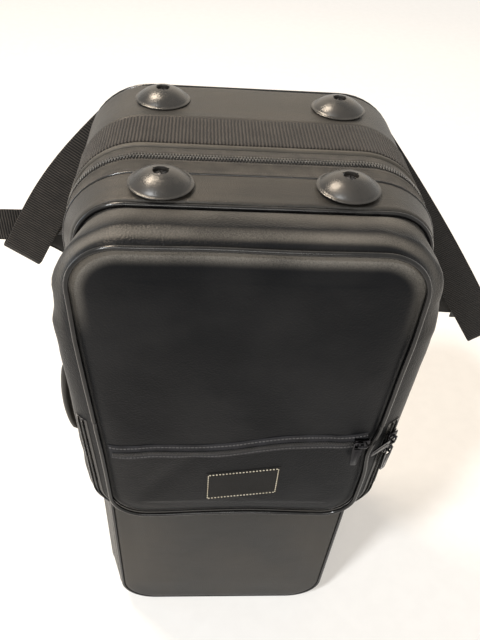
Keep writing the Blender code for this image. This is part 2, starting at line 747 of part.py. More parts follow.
def build_pocket_coils():
    """Add the two halves of the gusset zip, which runs from one side round the bottom to the other."""
    coils = []
    half = POCKET_CHAIN_WIDTH / 2
    low, high = 2 * GAP, 2 * GAP + POCKET_CHAIN_THICKNESS
    for name, near, far in (
        ("pocket_zip_coil", POCKET_ZIP_DEPTH - GAP / 2, POCKET_ZIP_DEPTH - half),
        ("flap_zip_coil", POCKET_ZIP_DEPTH + half, POCKET_ZIP_DEPTH + GAP / 2),
    ):
        rings = [coil_ring(near, high), coil_ring(far, high), coil_ring(far, low), coil_ring(near, low)]
        coils.append(add_object(name, hoop(name, rings, False), "coil"))
    return coils


def front_zip_half_length():
    """Return half of the front zip's length, which leaves room at both ends for the piping."""
    depth = POCKET_DEPTH - POCKET_EDGE_DEPTH
    middle = pocket_lean(depth, FRONT_ZIP_Z)
    panel_half = pocket_half(depth, FRONT_ZIP_Z) - middle - POCKET_EDGE_WIDTH
    return panel_half - abs(FRONT_ZIP_X - middle) - FRONT_ZIP_END_ROOM


def build_flap_front():
    """Add the front zip's tape and coil and the label, which lie on the flap."""
    turn = Matrix.Rotation(math.radians(-FRONT_ZIP_TILT), 4, "Y")
    tape_front = POCKET_DEPTH + GAP + TAPE_THICKNESS
    pieces = []
    for name, width, back, front, finish in (
        ("front_zip_tape", FRONT_TAPE_WIDTH, POCKET_DEPTH + GAP, tape_front, "tape"),
        ("front_zip_coil", FRONT_CHAIN_WIDTH, tape_front + GAP, tape_front + GAP + POCKET_CHAIN_THICKNESS, "coil"),
    ):
        half = Vector((front_zip_half_length(), 0.0, width / 2))
        low = Vector((0.0, at_depth(-front), 0.0)) - half
        high = Vector((0.0, at_depth(-back), 0.0)) + half
        mesh = box_mesh(name, low, high)
        mesh.transform(Matrix.Translation((FRONT_ZIP_X, 0.0, FRONT_ZIP_Z)) @ turn)
        pieces.append(add_object(name, mesh, finish))
    low = (-LABEL_WIDTH / 2, at_depth(-POCKET_DEPTH - GAP - LABEL_THICKNESS), -LABEL_HEIGHT / 2)
    high = (LABEL_WIDTH / 2, at_depth(-POCKET_DEPTH - GAP), LABEL_HEIGHT / 2)
    mesh = box_mesh("label_patch", low, high)
    slant = Matrix.Identity(4)
    slant[2][0] = LABEL_SLANT
    mesh.transform(Matrix.Translation((LABEL_X, 0.0, LABEL_Z)) @ slant)
    pieces.append(add_object("label_patch", mesh, "label_fabric"))
    return pieces


# Zip sliders and their pulls


def build_slider(name, frame):
    """Add one slider in its frame: X away from the zip, Z along it, with a bail on top."""
    half = Vector((SLIDER_THICKNESS / 2, SLIDER_WIDTH / 2, SLIDER_LENGTH / 2))
    centre = Vector((SLIDER_THICKNESS / 2, 0.0, 0.0))
    mesh = box_mesh(name, centre - half, centre + half)
    mesh.transform(frame)
    slider = add_object(name, mesh, "dark_metal")
    top = SLIDER_THICKNESS + BAIL_HOLE
    bail = box_mesh(
        f"{name}_bail", (SLIDER_THICKNESS / 2, -BAIL_WIDTH / 2, -BAIL_LENGTH / 2),
        (top + BAIL_BAR, BAIL_WIDTH / 2, BAIL_LENGTH / 2),
    )
    bail.transform(frame)
    boolean(slider, add_cutter(bail.name, bail), "UNION")
    hole = box_mesh(
        f"{name}_bail_hole", (SLIDER_THICKNESS, -SLIDER_WIDTH, BAIL_BAR - BAIL_LENGTH / 2),
        (top, SLIDER_WIDTH, BAIL_LENGTH / 2 - BAIL_BAR),
    )
    hole.transform(frame)
    boolean(slider, add_cutter(hole.name, hole))
    return slider


def pull_height():
    """Return how far a pull's middle plane stands off its slider's base."""
    return SLIDER_THICKNESS + BAIL_HOLE / 2


def build_pull(name, frame, top):
    """Add one pull in its frame: X away from the zip and -Z down the pull, its eye's top at a height."""
    half, tip = PULL_WIDTH / 2, PULL_TIP_WIDTH / 2
    bottom = top - PULL_LENGTH
    chamfer = PULL_STRIP
    outline = [
        (-half + chamfer, top), (half - chamfer, top), (half, top - chamfer), (half, top - PULL_WINDOW_LENGTH - chamfer),
        (tip, bottom + chamfer), (tip - chamfer, bottom), (-tip + chamfer, bottom), (-tip, bottom + chamfer),
        (-half, top - PULL_WINDOW_LENGTH - chamfer), (-half, top - chamfer),
    ]
    inner = half - PULL_STRIP
    window_low = top - PULL_WINDOW_LENGTH
    window = [(-inner, window_low), (inner, window_low), (inner, top - PULL_STRIP), (-inner, top - PULL_STRIP)]
    lie = Matrix(((0, 0, 1, 0), (1, 0, 0, 0), (0, 1, 0, 0), (0, 0, 0, 1)))
    return plate(name, outline, [window], PULL_THICKNESS, frame @ lie, "dark_metal")


def side_travel(half_at, side):
    """Return the direction up a side wall whose half width follows a function of the height."""
    rise = CASE_HEIGHT / 2
    return Vector((side * (half_at(rise + rise / 2) - half_at(rise)), 0.0, rise / 2)).normalized()


def build_side_held_pull(name, place, normal, away, below):
    """Add a pull that points away from its slider's path, held in the bail by one side of its window."""
    arm = (PULL_WIDTH - PULL_STRIP) / 2
    frame = frame_of(Vector(place) + Vector(below).normalized() * arm, normal, -Vector(away))
    return build_pull(name, frame, PULL_WINDOW_LENGTH / 2)


def build_slider_pair(zip_name, half_at, side, depth, base, meeting, lean):
    """Add two sliders head to head on a side wall, and return the pivots of both and of their pulls.

    The wall leans forward by an angle. The lower slider's pull hangs down, and the upper one's is swung
    forward, out of its way.
    """
    travel = side_travel(half_at, side)
    turn = Matrix.Rotation(-side * lean, 3, "Z")
    normal = turn @ Vector((side, 0, 0))
    forward = turn @ Vector((0, -1, 0))
    step = (SLIDER_LENGTH + GAP) / 2
    pivots = []
    for name, z in (("upper", meeting + step), ("lower", meeting - step)):
        origin = Vector((side * half_at(z), at_depth(depth), z)) + normal * base
        frame = frame_of(origin, normal, travel)
        slider = build_slider(f"{zip_name}_slider_{name}", frame)
        place = frame @ Matrix.Translation((pull_height(), 0.0, 0.0))
        if name == "lower":
            pull = build_pull(f"{zip_name}_pull_{name}", place, PULL_STRIP / 2)
        else:
            place = place @ Matrix.Translation((0.0, 0.0, SWUNG_PULL_RAISE))
            pull = build_side_held_pull(f"{zip_name}_pull_{name}", place.translation, normal, forward, -travel)
        slider_path = pivot(f"{zip_name}_slider_{name}_path", frame.translation)
        pull_pivot = pivot(f"{zip_name}_pull_{name}_pivot", place.translation)
        carry(slider_path, slider)
        carry(pull_pivot, pull)
        pivots += [slider_path, pull_pivot]
    return pivots


def build_main_sliders():
    """Add the main zip's two sliders on the left side, with their pulls."""
    build_slider_pair("main", half_width, -1, PARTING_DEPTH, CHAIN_STAND + GAP, MAIN_SLIDER_MEETING_Z, 0.0)


# Side handle


def build_handle():
    """Add the padded grip on its two wire ends, held in brackets on the webbing band."""
    centre_y = at_depth(ORIGIN_DEPTH - WEBBING_WIDTH / 16)
    travel = side_travel(half_width, -1)
    wall = -half_width(HANDLE_Z) - WEBBING_STAND - GAP
    frame = frame_of((wall - HANDLE_AXIS_STAND, centre_y, HANDLE_Z), (-1, 0, 0), travel)
    moving = [build_grip(frame)]
    for name, sign in (("upper", 1), ("lower", -1)):
        moving.append(build_handle_end(f"handle_end_{name}", frame, sign))
        build_bracket(f"handle_bracket_{name}", frame, sign)
    carry(pivot("handle_pivot", frame.translation), *moving)


def grip_half_length():
    """Return half of the grip's length, which leaves room for the wires' bends."""
    return HANDLE_SPAN / 2 - BRACKET_LENGTH - 3 * HANDLE_WIRE_RADIUS - GAP


def build_grip(frame):
    """Add the grip: an arched, flattened leather tube, narrowed to its wire ends."""
    reach = HANDLE_REACH - HANDLE_AXIS_STAND - HANDLE_THICKNESS / 2
    end = grip_half_length()
    stations, sides = 12, 10
    rings = []
    for k in range(stations + 1):
        share = k / stations
        z = -end + 2 * end * share
        swell = math.sin(math.pi * share) ** 0.5 if 0 < k < stations else 0.0
        bow = HANDLE_WIRE_REACH + (reach - HANDLE_WIRE_REACH) * math.sin(math.pi * share) ** 0.6
        bow = HANDLE_WIRE_REACH if k in (0, stations) else bow
        width = HANDLE_END_WIDTH + (HANDLE_WIDTH - HANDLE_END_WIDTH) * swell
        thickness = HANDLE_END_WIDTH + (HANDLE_THICKNESS - HANDLE_END_WIDTH) * swell
        ring = []
        for i in range(sides):
            angle = math.tau * i / sides
            ring.append(frame @ Vector((bow + thickness / 2 * math.sin(angle), width / 2 * math.cos(angle), z)))
        rings.append(ring)
    return add_object("handle_grip", closed_loft("handle_grip", rings), "leatherette")


def closed_loft(name, rings):
    """Return a solid skinned over rings and closed at both ends."""
    bm = bmesh.new()
    loops = [[bm.verts.new(point) for point in ring] for ring in rings]
    count = len(loops[0])
    for near, far in zip(loops, loops[1:]):
        for i in range(count):
            j = (i + 1) % count
            bm.faces.new((near[i], near[j], far[j], far[i]))
    bm.faces.new(loops[0])
    bm.faces.new(loops[-1])
    return mesh_from(bm, name)


def build_handle_end(name, frame, sign):
    """Add the bent wire that comes out of the grip's end and turns in its bracket."""
    outer = HANDLE_SPAN / 2
    bend = outer - BRACKET_LENGTH - HANDLE_WIRE_RADIUS - GAP
    route = [
        (0.0, 0.0, outer - GAP), (0.0, 0.0, bend + HANDLE_WIRE_RADIUS / 2), (HANDLE_WIRE_RADIUS / 2, 0.0, bend),
        (HANDLE_WIRE_REACH - HANDLE_WIRE_RADIUS / 2, 0.0, bend),
        (HANDLE_WIRE_REACH, 0.0, bend - HANDLE_WIRE_RADIUS / 2), (HANDLE_WIRE_REACH, 0.0, grip_half_length() + GAP),
    ]
    points = [frame @ Vector((x, y, sign * z)) for x, y, z in route]
    return tube(name, points, HANDLE_WIRE_RADIUS, "steel", resolution=2)


def build_bracket(name, frame, sign):
    """Add one bracket on the webbing, with the bore that the wire end turns in."""
    outer = HANDLE_SPAN / 2
    inner = outer - BRACKET_LENGTH
    base = -HANDLE_AXIS_STAND
    top = HANDLE_AXIS_STAND
    low_z, high_z = sorted((sign * inner, sign * outer))
    mesh = box_mesh(name, (base, -BRACKET_WIDTH / 2, low_z), (top, BRACKET_WIDTH / 2, high_z))
    mesh.transform(frame)
    bracket = add_object(name, mesh, "dark_metal")
    ends = [frame @ Vector((0.0, 0.0, z)) for z in (low_z - BRACKET_LENGTH, high_z + BRACKET_LENGTH)]
    bore = cone_mesh(f"{name}_bore", ends[0], ends[1], BRACKET_BORE_RADIUS, BRACKET_BORE_RADIUS, 12)
    boolean(bracket, add_cutter(bore.name, bore))
    return bracket


def build_side_tab():
    """Add the short folded tab on the left side of the webbing band, near the feet."""
    z = CASE_HEIGHT - SIDE_TAB_BELOW_TOP
    frame = frame_of((-half_width(z) - WEBBING_STAND - GAP, at_depth(ORIGIN_DEPTH), z), (-1, 0, 0),
                     side_travel(half_width, -1))
    half_depth = WEBBING_WIDTH * 0.45
    mesh = box_mesh("side_tab", (0.0, -half_depth, -SIDE_TAB_LENGTH / 2), (SIDE_TAB_STAND, half_depth, SIDE_TAB_LENGTH / 2))
    mesh.transform(frame)
    return add_object("side_tab", mesh, "binding")


# Shoulder straps


def ribbon_mesh(name, stations, thickness):
    """Return a flat ribbon through stations of (centre, width vector, normal)."""
    rings = []
    for centre, width, normal in stations:
        half_thickness = Vector(normal) * thickness / 2
        half_width_vector = Vector(width) / 2
        centre = Vector(centre)
        rings.append([
            centre - half_width_vector - half_thickness, centre + half_width_vector - half_thickness,
            centre + half_width_vector + half_thickness, centre - half_width_vector + half_thickness,
        ])
    return closed_loft(name, rings)


def strap_stations(side, slope, run, back_run):
    """Return a webbing's stations: out along a slope, a half turn to the back, and a short return."""
    along = Vector((slope[0], 0.0, slope[1])).normalized()
    across = Vector((-along.z, 0.0, along.x)) * STRAP_WIDTH
    start_y = at_depth(CASE_DEPTH + STRAP_STAND + STRAP_THICKNESS / 2)
    start = Vector((side * STRAP_START_X, start_y, STRAP_START_Z))
    stations = [(start, across, Vector((0, -1, 0))), (start + along * run, across, Vector((0, -1, 0)))]
    centre = start + along * run + Vector((0, STRAP_TURN_RADIUS, 0))
    turns = 6
    for k in range(1, turns + 1):
        angle = math.pi * k / turns
        normal = Vector((0, -math.cos(angle), 0)) + along * math.sin(angle)
        stations.append((centre + normal * STRAP_TURN_RADIUS, across, normal))
    end = stations[-1][0] - along * back_run
    stations.append((end, across, stations[-1][2]))
    return stations


def build_strap(name, side, slope, run, back_run, tail):
    """Add one strap: webbing from the tab at the corner, its tail, its lock and its padded part."""
    stations = strap_stations(side, slope, run, back_run)
    mesh = ribbon_mesh(f"strap_webbing_{name}", stations, STRAP_THICKNESS)
    webbing = add_object(mesh.name, mesh, "webbing")
    end, across, _ = stations[-1]
    along = (stations[-1][0] - stations[-2][0]).normalized()
    hold = end - along * STRAP_WIDTH / 2
    if tail:
        out = hold + Vector((side * (tail + STRAP_WIDTH / 2), 0.0, 0.0))
        tail_width = Vector((0.0, 0.0, STRAP_WIDTH * 0.98))
        normal = Vector((0, 1, 0))
        tail_mesh = ribbon_mesh(f"strap_tail_{name}", [
            (hold, tail_width, normal), (out, tail_width * 0.9, normal),
        ], STRAP_THICKNESS * 0.9)
        boolean(webbing, add_cutter(tail_mesh.name, tail_mesh), "UNION")
    points = STRAP_PAD_POINTS_LEFT if side < 0 else STRAP_PAD_POINTS_RIGHT
    build_strap_pad(f"strap_pad_{name}", points)
    build_strap_lock(f"strap_lock_{name}", hold)


def build_strap_pad(name, points):
    """Add the padded part along a smooth line through its points, flat side to the case's back."""
    route = smooth_line([Vector((x, at_depth(depth), z)) for x, depth, z in points], 3)
    rings = []
    for i, here in enumerate(route):
        ahead = route[min(i + 1, len(route) - 1)] - route[max(i - 1, 0)]
        along = ahead.normalized()
        normal = (Vector((0, 1, 0)) - along * along.y).normalized()
        across = along.cross(normal)
        half = STRAP_PAD_WIDTH / 2
        edge = STRAP_PAD_THICKNESS * 0.25
        body = STRAP_PAD_THICKNESS / 2
        shape = [(-half, -edge), (-half * 0.8, -body), (half * 0.8, -body), (half, -edge),
                 (half, edge), (half * 0.8, body), (-half * 0.8, body), (-half, edge)]
        rings.append([here + across * u + normal * v for u, v in shape])
    pad = add_object(name, closed_loft(name, rings), "pad_fabric")
    low = (-HALF_WIDTH_FOOT_END, at_depth(CASE_DEPTH), 0.0)
    high = (HALF_WIDTH_FOOT_END, at_depth(CASE_DEPTH + ANCHOR_WIDTH), ANCHOR_TOP + GAP)
    cut = box_mesh(f"{name}_end_cut", low, high)
    boolean(pad, add_cutter(cut.name, cut))
    return pad


def smooth_line(points, steps):
    """Return points along a Catmull-Rom curve through the given points."""
    ends = [points[0] * 2 - points[1]] + points + [points[-1] * 2 - points[-2]]
    line = [points[0]]
    for before, start, end, after in zip(ends, ends[1:], ends[2:], ends[3:]):
        for k in range(1, steps + 1):
            t = k / steps
            line.append(0.5 * (
                start * 2 + (end - before) * t + (before * 2 - start * 5 + end * 4 - after) * t ** 2
                + (start * 3 - before - end * 3 + after) * t ** 3
            ))
    return line


def build_strap_lock(name, hold):
    """Add the three-bar lock that lies between the webbing's return and the padded part."""
    centre = hold + Vector((0.0, STRAP_THICKNESS / 2 + GAP + STRAP_LOCK_THICKNESS / 2, 0.0))
    half = Vector((STRAP_LOCK_WIDTH / 2, STRAP_LOCK_THICKNESS / 2, STRAP_LOCK_LENGTH / 2))
    lock = add_object(name, box_mesh(name, centre - half, centre + half), "black_plastic")
    bar = STRAP_LOCK_LENGTH / 7
    for sign in (1, -1):
        low = centre + Vector((-STRAP_WIDTH / 2, -2 * half.y, bar / 2 if sign > 0 else -half.z + bar))
        high = centre + Vector((STRAP_WIDTH / 2, 2 * half.y, half.z - bar if sign > 0 else -bar / 2))
        mesh = box_mesh(f"{name}_slot_{'high' if sign > 0 else 'low'}", low, high)
        boolean(lock, add_cutter(mesh.name, mesh))
    return lock


def build_strap_anchor():
    """Add the anchor low on the back face, which holds both padded parts."""
    back = CASE_DEPTH + GAP
    mesh = box_mesh("strap_anchor", (-ANCHOR_WIDTH / 2, at_depth(back), ANCHOR_TOP - ANCHOR_HEIGHT),
                    (ANCHOR_WIDTH / 2, at_depth(back + ANCHOR_THICKNESS), ANCHOR_TOP))
    add_object("strap_anchor", mesh, "leatherette")


# Inside


def build_inside():
    """Add the lid's pad, the moulded insert with its recess, and the accessory box with its lid."""
    inset = INNER_INSET + LINING_CLEARANCE
    pad_back = INNER_INSET + LINING_CLEARANCE + LID_PAD_THICKNESS
    corner = inset + CORE_THICKNESS
    pad = add_object("lid_pad", loft("lid_pad", [
        case_section(INNER_INSET + LINING_CLEARANCE, corner), case_section(corner, inset + CORE_THICKNESS / 2),
        case_section(pad_back, inset),
    ], cap_first=True, cap_last=True), "plush")
    insert_back = CASE_DEPTH - INNER_INSET - LINING_CLEARANCE
    insert = add_object("foam_insert", loft("foam_insert", [
        case_section(INSERT_FACE_DEPTH, inset), case_section(CASE_DEPTH - corner, inset),
        case_section(insert_back, corner),
    ], cap_first=True, cap_last=True), "plush")
    for mesh in recess_meshes():
        boolean(insert, add_cutter(mesh.name, mesh))
    build_accessory_box()
    return [pad]


def recess_meshes():
    """Return the cutters of the saxophone's recess and of the accessory box's hole."""
    face = at_depth(INSERT_FACE_DEPTH)
    above = face - INSERT_FACE_DEPTH / 8
    half = TUBE_RECESS_WIDTH / 2
    bell_high = BOW_RECESS_Z
    return [
        box_mesh("recess_tube", (TUBE_RECESS_X - half, above, TUBE_RECESS_LOW),
                 (TUBE_RECESS_X + half, face + TUBE_RECESS_DEPTH, BOW_RECESS_Z)),
        cone_mesh("recess_bow", (BOW_RECESS_X, above, BOW_RECESS_Z), (BOW_RECESS_X, face + BOW_RECESS_DEPTH, BOW_RECESS_Z),
                  BOW_RECESS_RADIUS, BOW_RECESS_RADIUS, 24),
        cone_mesh("recess_bell", (BELL_RECESS_X, face, BELL_RECESS_LOW), (BELL_RECESS_X - BELL_THROAT_RADIUS, face, bell_high),
                  BELL_MOUTH_RADIUS, BELL_THROAT_RADIUS, 16),
        box_mesh("recess_box", (BOX_LEFT - GAP, above, BOX_LOW - GAP),
                 (BOX_RIGHT + GAP, face + BOX_DEPTH + GAP, BOX_HIGH + GAP)),
    ]


def build_accessory_box():
    """Add the open box let into the insert and the lid that hinges on its right edge."""
    face = at_depth(INSERT_FACE_DEPTH)
    floor = face + BOX_DEPTH
    box = add_object("accessory_box", box_mesh("accessory_box", (BOX_LEFT, face, BOX_LOW), (BOX_RIGHT, floor, BOX_HIGH)),
                     "plush")
    hollow = box_mesh(
        "accessory_box_hollow", (BOX_LEFT + BOX_WALL, face - BOX_WALL, BOX_LOW + BOX_WALL),
        (BOX_RIGHT - BOX_WALL, floor - BOX_WALL, BOX_HIGH - BOX_WALL),
    )
    boolean(box, add_cutter(hollow.name, hollow))
    lid = add_object("accessory_lid", box_mesh(
        "accessory_lid", (BOX_LEFT + BOX_LID_LIP, face - GAP - BOX_LID_THICKNESS, BOX_LOW + BOX_LID_LIP),
        (BOX_RIGHT - BOX_LID_LIP, face - GAP, BOX_HIGH - BOX_LID_LIP),
    ), "plush")
    carry(pivot("accessory_lid_hinge", (BOX_RIGHT - BOX_LID_LIP, face - GAP - BOX_LID_THICKNESS, BOX_LOW)), lid)


# Moving groups


def pocket_half(depth, z):
    """Return the pocket's half width at a depth and a height."""
    return pocket_section(depth, 0.0, (z, z))[0].x


def build_pocket_sliders():
    """Add the gusset zip's two sliders on the right side, with their pulls, and return their pivots."""
    edge = POCKET_CHAIN_WIDTH / 2
    middle = POCKET_SLIDER_MEETING_Z
    fall = pocket_half(POCKET_ZIP_DEPTH - edge, middle) - pocket_half(POCKET_ZIP_DEPTH + edge, middle)
    lean = math.atan2(fall, POCKET_CHAIN_WIDTH)
    base = (POCKET_CHAIN_THICKNESS + 2 * GAP) * math.cos(lean) + GAP
    return build_slider_pair(
        "pocket", lambda z: pocket_half(POCKET_ZIP_DEPTH, z), 1, -POCKET_ZIP_DEPTH, base, middle, lean
    )


def build_front_slider():
    """Add the front zip's slider at its right end and the pull that hangs from it."""
    tilt = Matrix.Rotation(math.radians(-FRONT_ZIP_TILT), 4, "Y")
    along = tilt @ Vector((1, 0, 0))
    base = POCKET_DEPTH + TAPE_THICKNESS + POCKET_CHAIN_THICKNESS + 3 * GAP
    reach = front_zip_half_length() - FRONT_SLIDER_FROM_END
    place = Vector((FRONT_ZIP_X, at_depth(-base), FRONT_ZIP_Z)) + along * reach
    frame = frame_of(place, (0, -1, 0), -along)
    slider = build_slider("front_slider", frame)
    bail = place + Vector((0.0, -pull_height(), 0.0))
    pull = build_side_held_pull("front_pull", bail, (0, -1, 0), (0, 0, -1), -along)
    slider_path = pivot("front_slider_path", place)
    pull_pivot = pivot("front_pull_pivot", bail)
    carry(slider_path, slider)
    carry(pull_pivot, pull)
    return [slider_path, pull_pivot]


def build_case():
    """Build every part of the case and hang the moving ones on their pivots."""
    build_back_shell()
    lid = build_lid_shell()
    build_hinge_strip()
    for name, x, depth, seat in screw_places():
        pieces = build_foot(name, x, depth, seat)
        if name.startswith("lid"):
            lid += pieces
    pocket, flap = build_pocket()
    flap += build_flap_front()
    flap += build_front_slider()
    lid += pocket + build_inside() + build_pocket_sliders()
    build_main_sliders()
    build_handle()
    build_side_tab()
    build_strap("left", -1, LEFT_STRAP_SLOPE, LEFT_STRAP_RUN, LEFT_STRAP_RETURN, LEFT_TAIL_LENGTH)
    build_strap("right", 1, RIGHT_STRAP_SLOPE, RIGHT_STRAP_RUN, RIGHT_STRAP_RETURN, 0.0)
    build_strap_anchor()
    fold_depth = pocket_piping_place()[0] + PIPING_RADIUS + GAP
    fold = pivot("pocket_fold", (0.0, at_depth(-fold_depth), POCKET_FOLD_Z))
    carry(fold, *flap)
    hinge = (HALF_WIDTH_FOOT_END + HINGE_AXIS_STAND, at_depth(PARTING_DEPTH), 0.0)
    carry(pivot("lid_hinge", hinge), fold, *lid)


clear_scene()
PARTS = new_collection(COLLECTION_NAME)
CUTTERS = new_collection("cutters")
build_case()
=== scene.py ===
"""Looks of the alto saxophone case: soft covers, woven bands, zips, feet, pocket, handle, straps and inside."""

import logging
import math
from contextlib import contextmanager
from dataclasses import dataclass
from enum import Enum
from typing import Callable, Iterator, Optional, Sequence

import bmesh
import bpy
from mathutils import Matrix, Vector, noise


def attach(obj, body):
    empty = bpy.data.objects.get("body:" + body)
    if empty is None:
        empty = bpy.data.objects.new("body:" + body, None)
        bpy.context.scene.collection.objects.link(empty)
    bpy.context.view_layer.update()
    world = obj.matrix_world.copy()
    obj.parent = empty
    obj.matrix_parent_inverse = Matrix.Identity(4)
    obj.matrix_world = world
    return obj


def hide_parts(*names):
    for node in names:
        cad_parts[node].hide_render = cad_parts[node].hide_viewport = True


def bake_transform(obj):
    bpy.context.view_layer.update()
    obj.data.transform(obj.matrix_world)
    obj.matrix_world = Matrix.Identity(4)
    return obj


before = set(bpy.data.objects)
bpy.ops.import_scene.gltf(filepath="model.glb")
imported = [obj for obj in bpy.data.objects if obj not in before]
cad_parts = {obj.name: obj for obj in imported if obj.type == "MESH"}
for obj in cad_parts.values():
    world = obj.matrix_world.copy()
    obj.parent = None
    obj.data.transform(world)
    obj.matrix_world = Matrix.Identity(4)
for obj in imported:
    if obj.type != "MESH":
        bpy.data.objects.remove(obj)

Object = bpy.types.Object
Ring = list[Vector]
Point2 = tuple[float, float]
Colour = tuple[float, float, float]

LOG = logging.getLogger("saxophone_case")
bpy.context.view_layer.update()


# Shaders


def maths(operation: str, swapped: bool = False) -> Callable[..., "Socket"]:
    """Return a method of a socket that adds one Math node, its values swapped for a reflected form."""
    def method(self: "Socket", *others: "Socket | float") -> "Socket":
        """Return the operation's result on this value and any others."""
        values = (*others, self) if swapped else (self, *others)
        return self.tree.node("ShaderNodeMath", {"operation": operation}, dict(enumerate(values)))

    return method


class Socket:
    """One output of a node, on which arithmetic adds Math nodes."""

    __add__, __radd__ = maths("ADD"), maths("ADD", True)
    __sub__, __rsub__ = maths("SUBTRACT"), maths("SUBTRACT", True)
    __mul__, __rmul__ = maths("MULTIPLY"), maths("MULTIPLY", True)
    __abs__, sine, fraction = maths("ABSOLUTE"), maths("SINE"), maths("FRACT")
    lowest, highest = maths("MINIMUM"), maths("MAXIMUM")

    def __init__(self, tree: "ShaderTree", socket: bpy.types.NodeSocket) -> None:
        """Keep the socket and the tree that it belongs to."""
        self.tree, self.socket = tree, socket

    def band(self, low: float, high: float) -> "Socket":
        """Return a smooth step from 0 at low to 1 at high."""
        return self.tree.node("ShaderNodeMapRange", {"interpolation_type": "SMOOTHSTEP"},
                              {"Value": self, "From Min": low, "From Max": high})


class ShaderTree:
    """A material's node tree and the ways to add to it."""

    def __init__(self, name: str) -> None:
        """Make a material with one Principled shader."""
        self.material = bpy.data.materials.new(name)
        self.material.use_nodes = True
        self.tree = self.material.node_tree
        self.shader = self.tree.nodes["Principled BSDF"]
        self.places: dict[str, Socket] = {}

    @classmethod
    def of_world(cls, world: bpy.types.World) -> "ShaderTree":
        """Return the node tree of a world, with only its output left."""
        tree = cls.__new__(cls)
        world.use_nodes = True
        tree.tree = world.node_tree
        tree.tree.nodes.remove(tree.tree.nodes["Background"])
        tree.places = {}
        return tree

    def output(self, shader: Socket) -> None:
        """Feed a shader to the tree's output."""
        end = next(node for node in self.tree.nodes if node.type.startswith("OUTPUT"))
        self.tree.links.new(shader.socket, end.inputs["Surface"])

    def node(self, kind: str, settings: Optional[dict] = None, inputs: Optional[dict] = None,
             output: "int | str" = 0) -> Socket:
        """Add a node of any type.

        Args:
            kind: the node's type.
            settings: its settings, set first.
            inputs: values or sockets by input name or number.
            output: which output to return.

        Returns:
            The chosen output.
        """
        node = self.tree.nodes.new(kind)
        for key, value in (settings or {}).items():
            setattr(node, key, value)
        for key, value in (inputs or {}).items():
            if isinstance(value, Socket):
                self.tree.links.new(value.socket, node.inputs[key])
            else:
                node.inputs[key].default_value = value
        return Socket(self, node.outputs[output])

    def place(self) -> Socket:
        """Return the Object coordinates, in metres."""
        if "object" not in self.places:
            self.places["object"] = self.node("ShaderNodeTexCoord", output="Object")
        return self.places["object"]

    def along(self) -> Socket:
        """Return the length along the piece from its UV map, in metres."""
        return self._uv("X")

    def across(self) -> Socket:
        """Return the width across the piece from its UV map, in metres."""
        return self._uv("Y")

    def _uv(self, axis: str) -> Socket:
        """Return one part of the UV map."""
        if axis not in self.places:
            cloth = self.cloth_place()
            for name in ("X", "Y"):
                self.places[name] = self.node("ShaderNodeSeparateXYZ", inputs={0: cloth}, output=name)
        return self.places[axis]

    def cloth_place(self) -> Socket:
        """Return the UV map as a vector, in metres."""
        return self.node("ShaderNodeUVMap", {"uv_map": "cloth"})

    def stretched(self, scale: Colour, turn: float = 0.0) -> Socket:
        """Return the Object coordinates stretched on each axis, turned round Z by degrees, for streaks."""
        return self.node("ShaderNodeMapping", inputs={"Vector": self.place(), "Scale": scale,
                                                      "Rotation": (0.0, 0.0, math.radians(turn))})

    def grain(self, scale: float, detail: float = 2.0, vector: Optional[Socket] = None, rough: float = 0.5) -> Socket:
        """Return a noise value, centred on one half, at a scale in cycles per metre."""
        return self.node("ShaderNodeTexNoise", inputs={
            "Vector": vector or self.place(), "Scale": scale, "Detail": detail, "Roughness": rough})

    def pebbles(self, scale: float) -> Socket:
        """Return the distance to the nearest of the cells of a pebbled grain."""
        return self.node("ShaderNodeTexVoronoi", {"feature": "SMOOTH_F1"}, {
            "Vector": self.place(), "Scale": scale, "Smoothness": 0.35})

    def blend(self, share: "Socket | float", low: "Socket | Colour", high: "Socket | Colour") -> Socket:
        """Return a mix of two colours."""
        low, high = (colour if isinstance(colour, Socket) else (*colour, 1.0) for colour in (low, high))
        return self.node("ShaderNodeMix", {"data_type": "RGBA"}, {0: share, 6: low, 7: high}, 2)

    def bump(self, height: Socket, depth: float, below: Optional[Socket] = None) -> Socket:
        """Return a normal raised by a height of one unit over a depth in metres, on one below it."""
        inputs = {"Height": height, "Distance": depth, "Strength": 1.0} | ({"Normal": below} if below else {})
        return self.node("ShaderNodeBump", inputs=inputs)

    def finish(self, colour: Socket, roughness: "Socket | float", normal: Optional[Socket] = None,
               **constants: float) -> bpy.types.Material:
        """Feed the shader and return the material.

        Args:
            colour: base colour.
            roughness: roughness as a value or a socket.
            normal: normal from a bump.
            **constants: other shader inputs by name, with spaces as underscores.

        Returns:
            The finished material.
        """
        values = {"Base Color": colour, "Roughness": roughness} | ({"Normal": normal} if normal else {})
        for name, value in (values | constants).items():
            entry = self.shader.inputs[name.replace("_", " ")]
            if isinstance(value, Socket):
                self.tree.links.new(value.socket, entry)
            else:
                entry.default_value = value
        return self.material


# Finishes


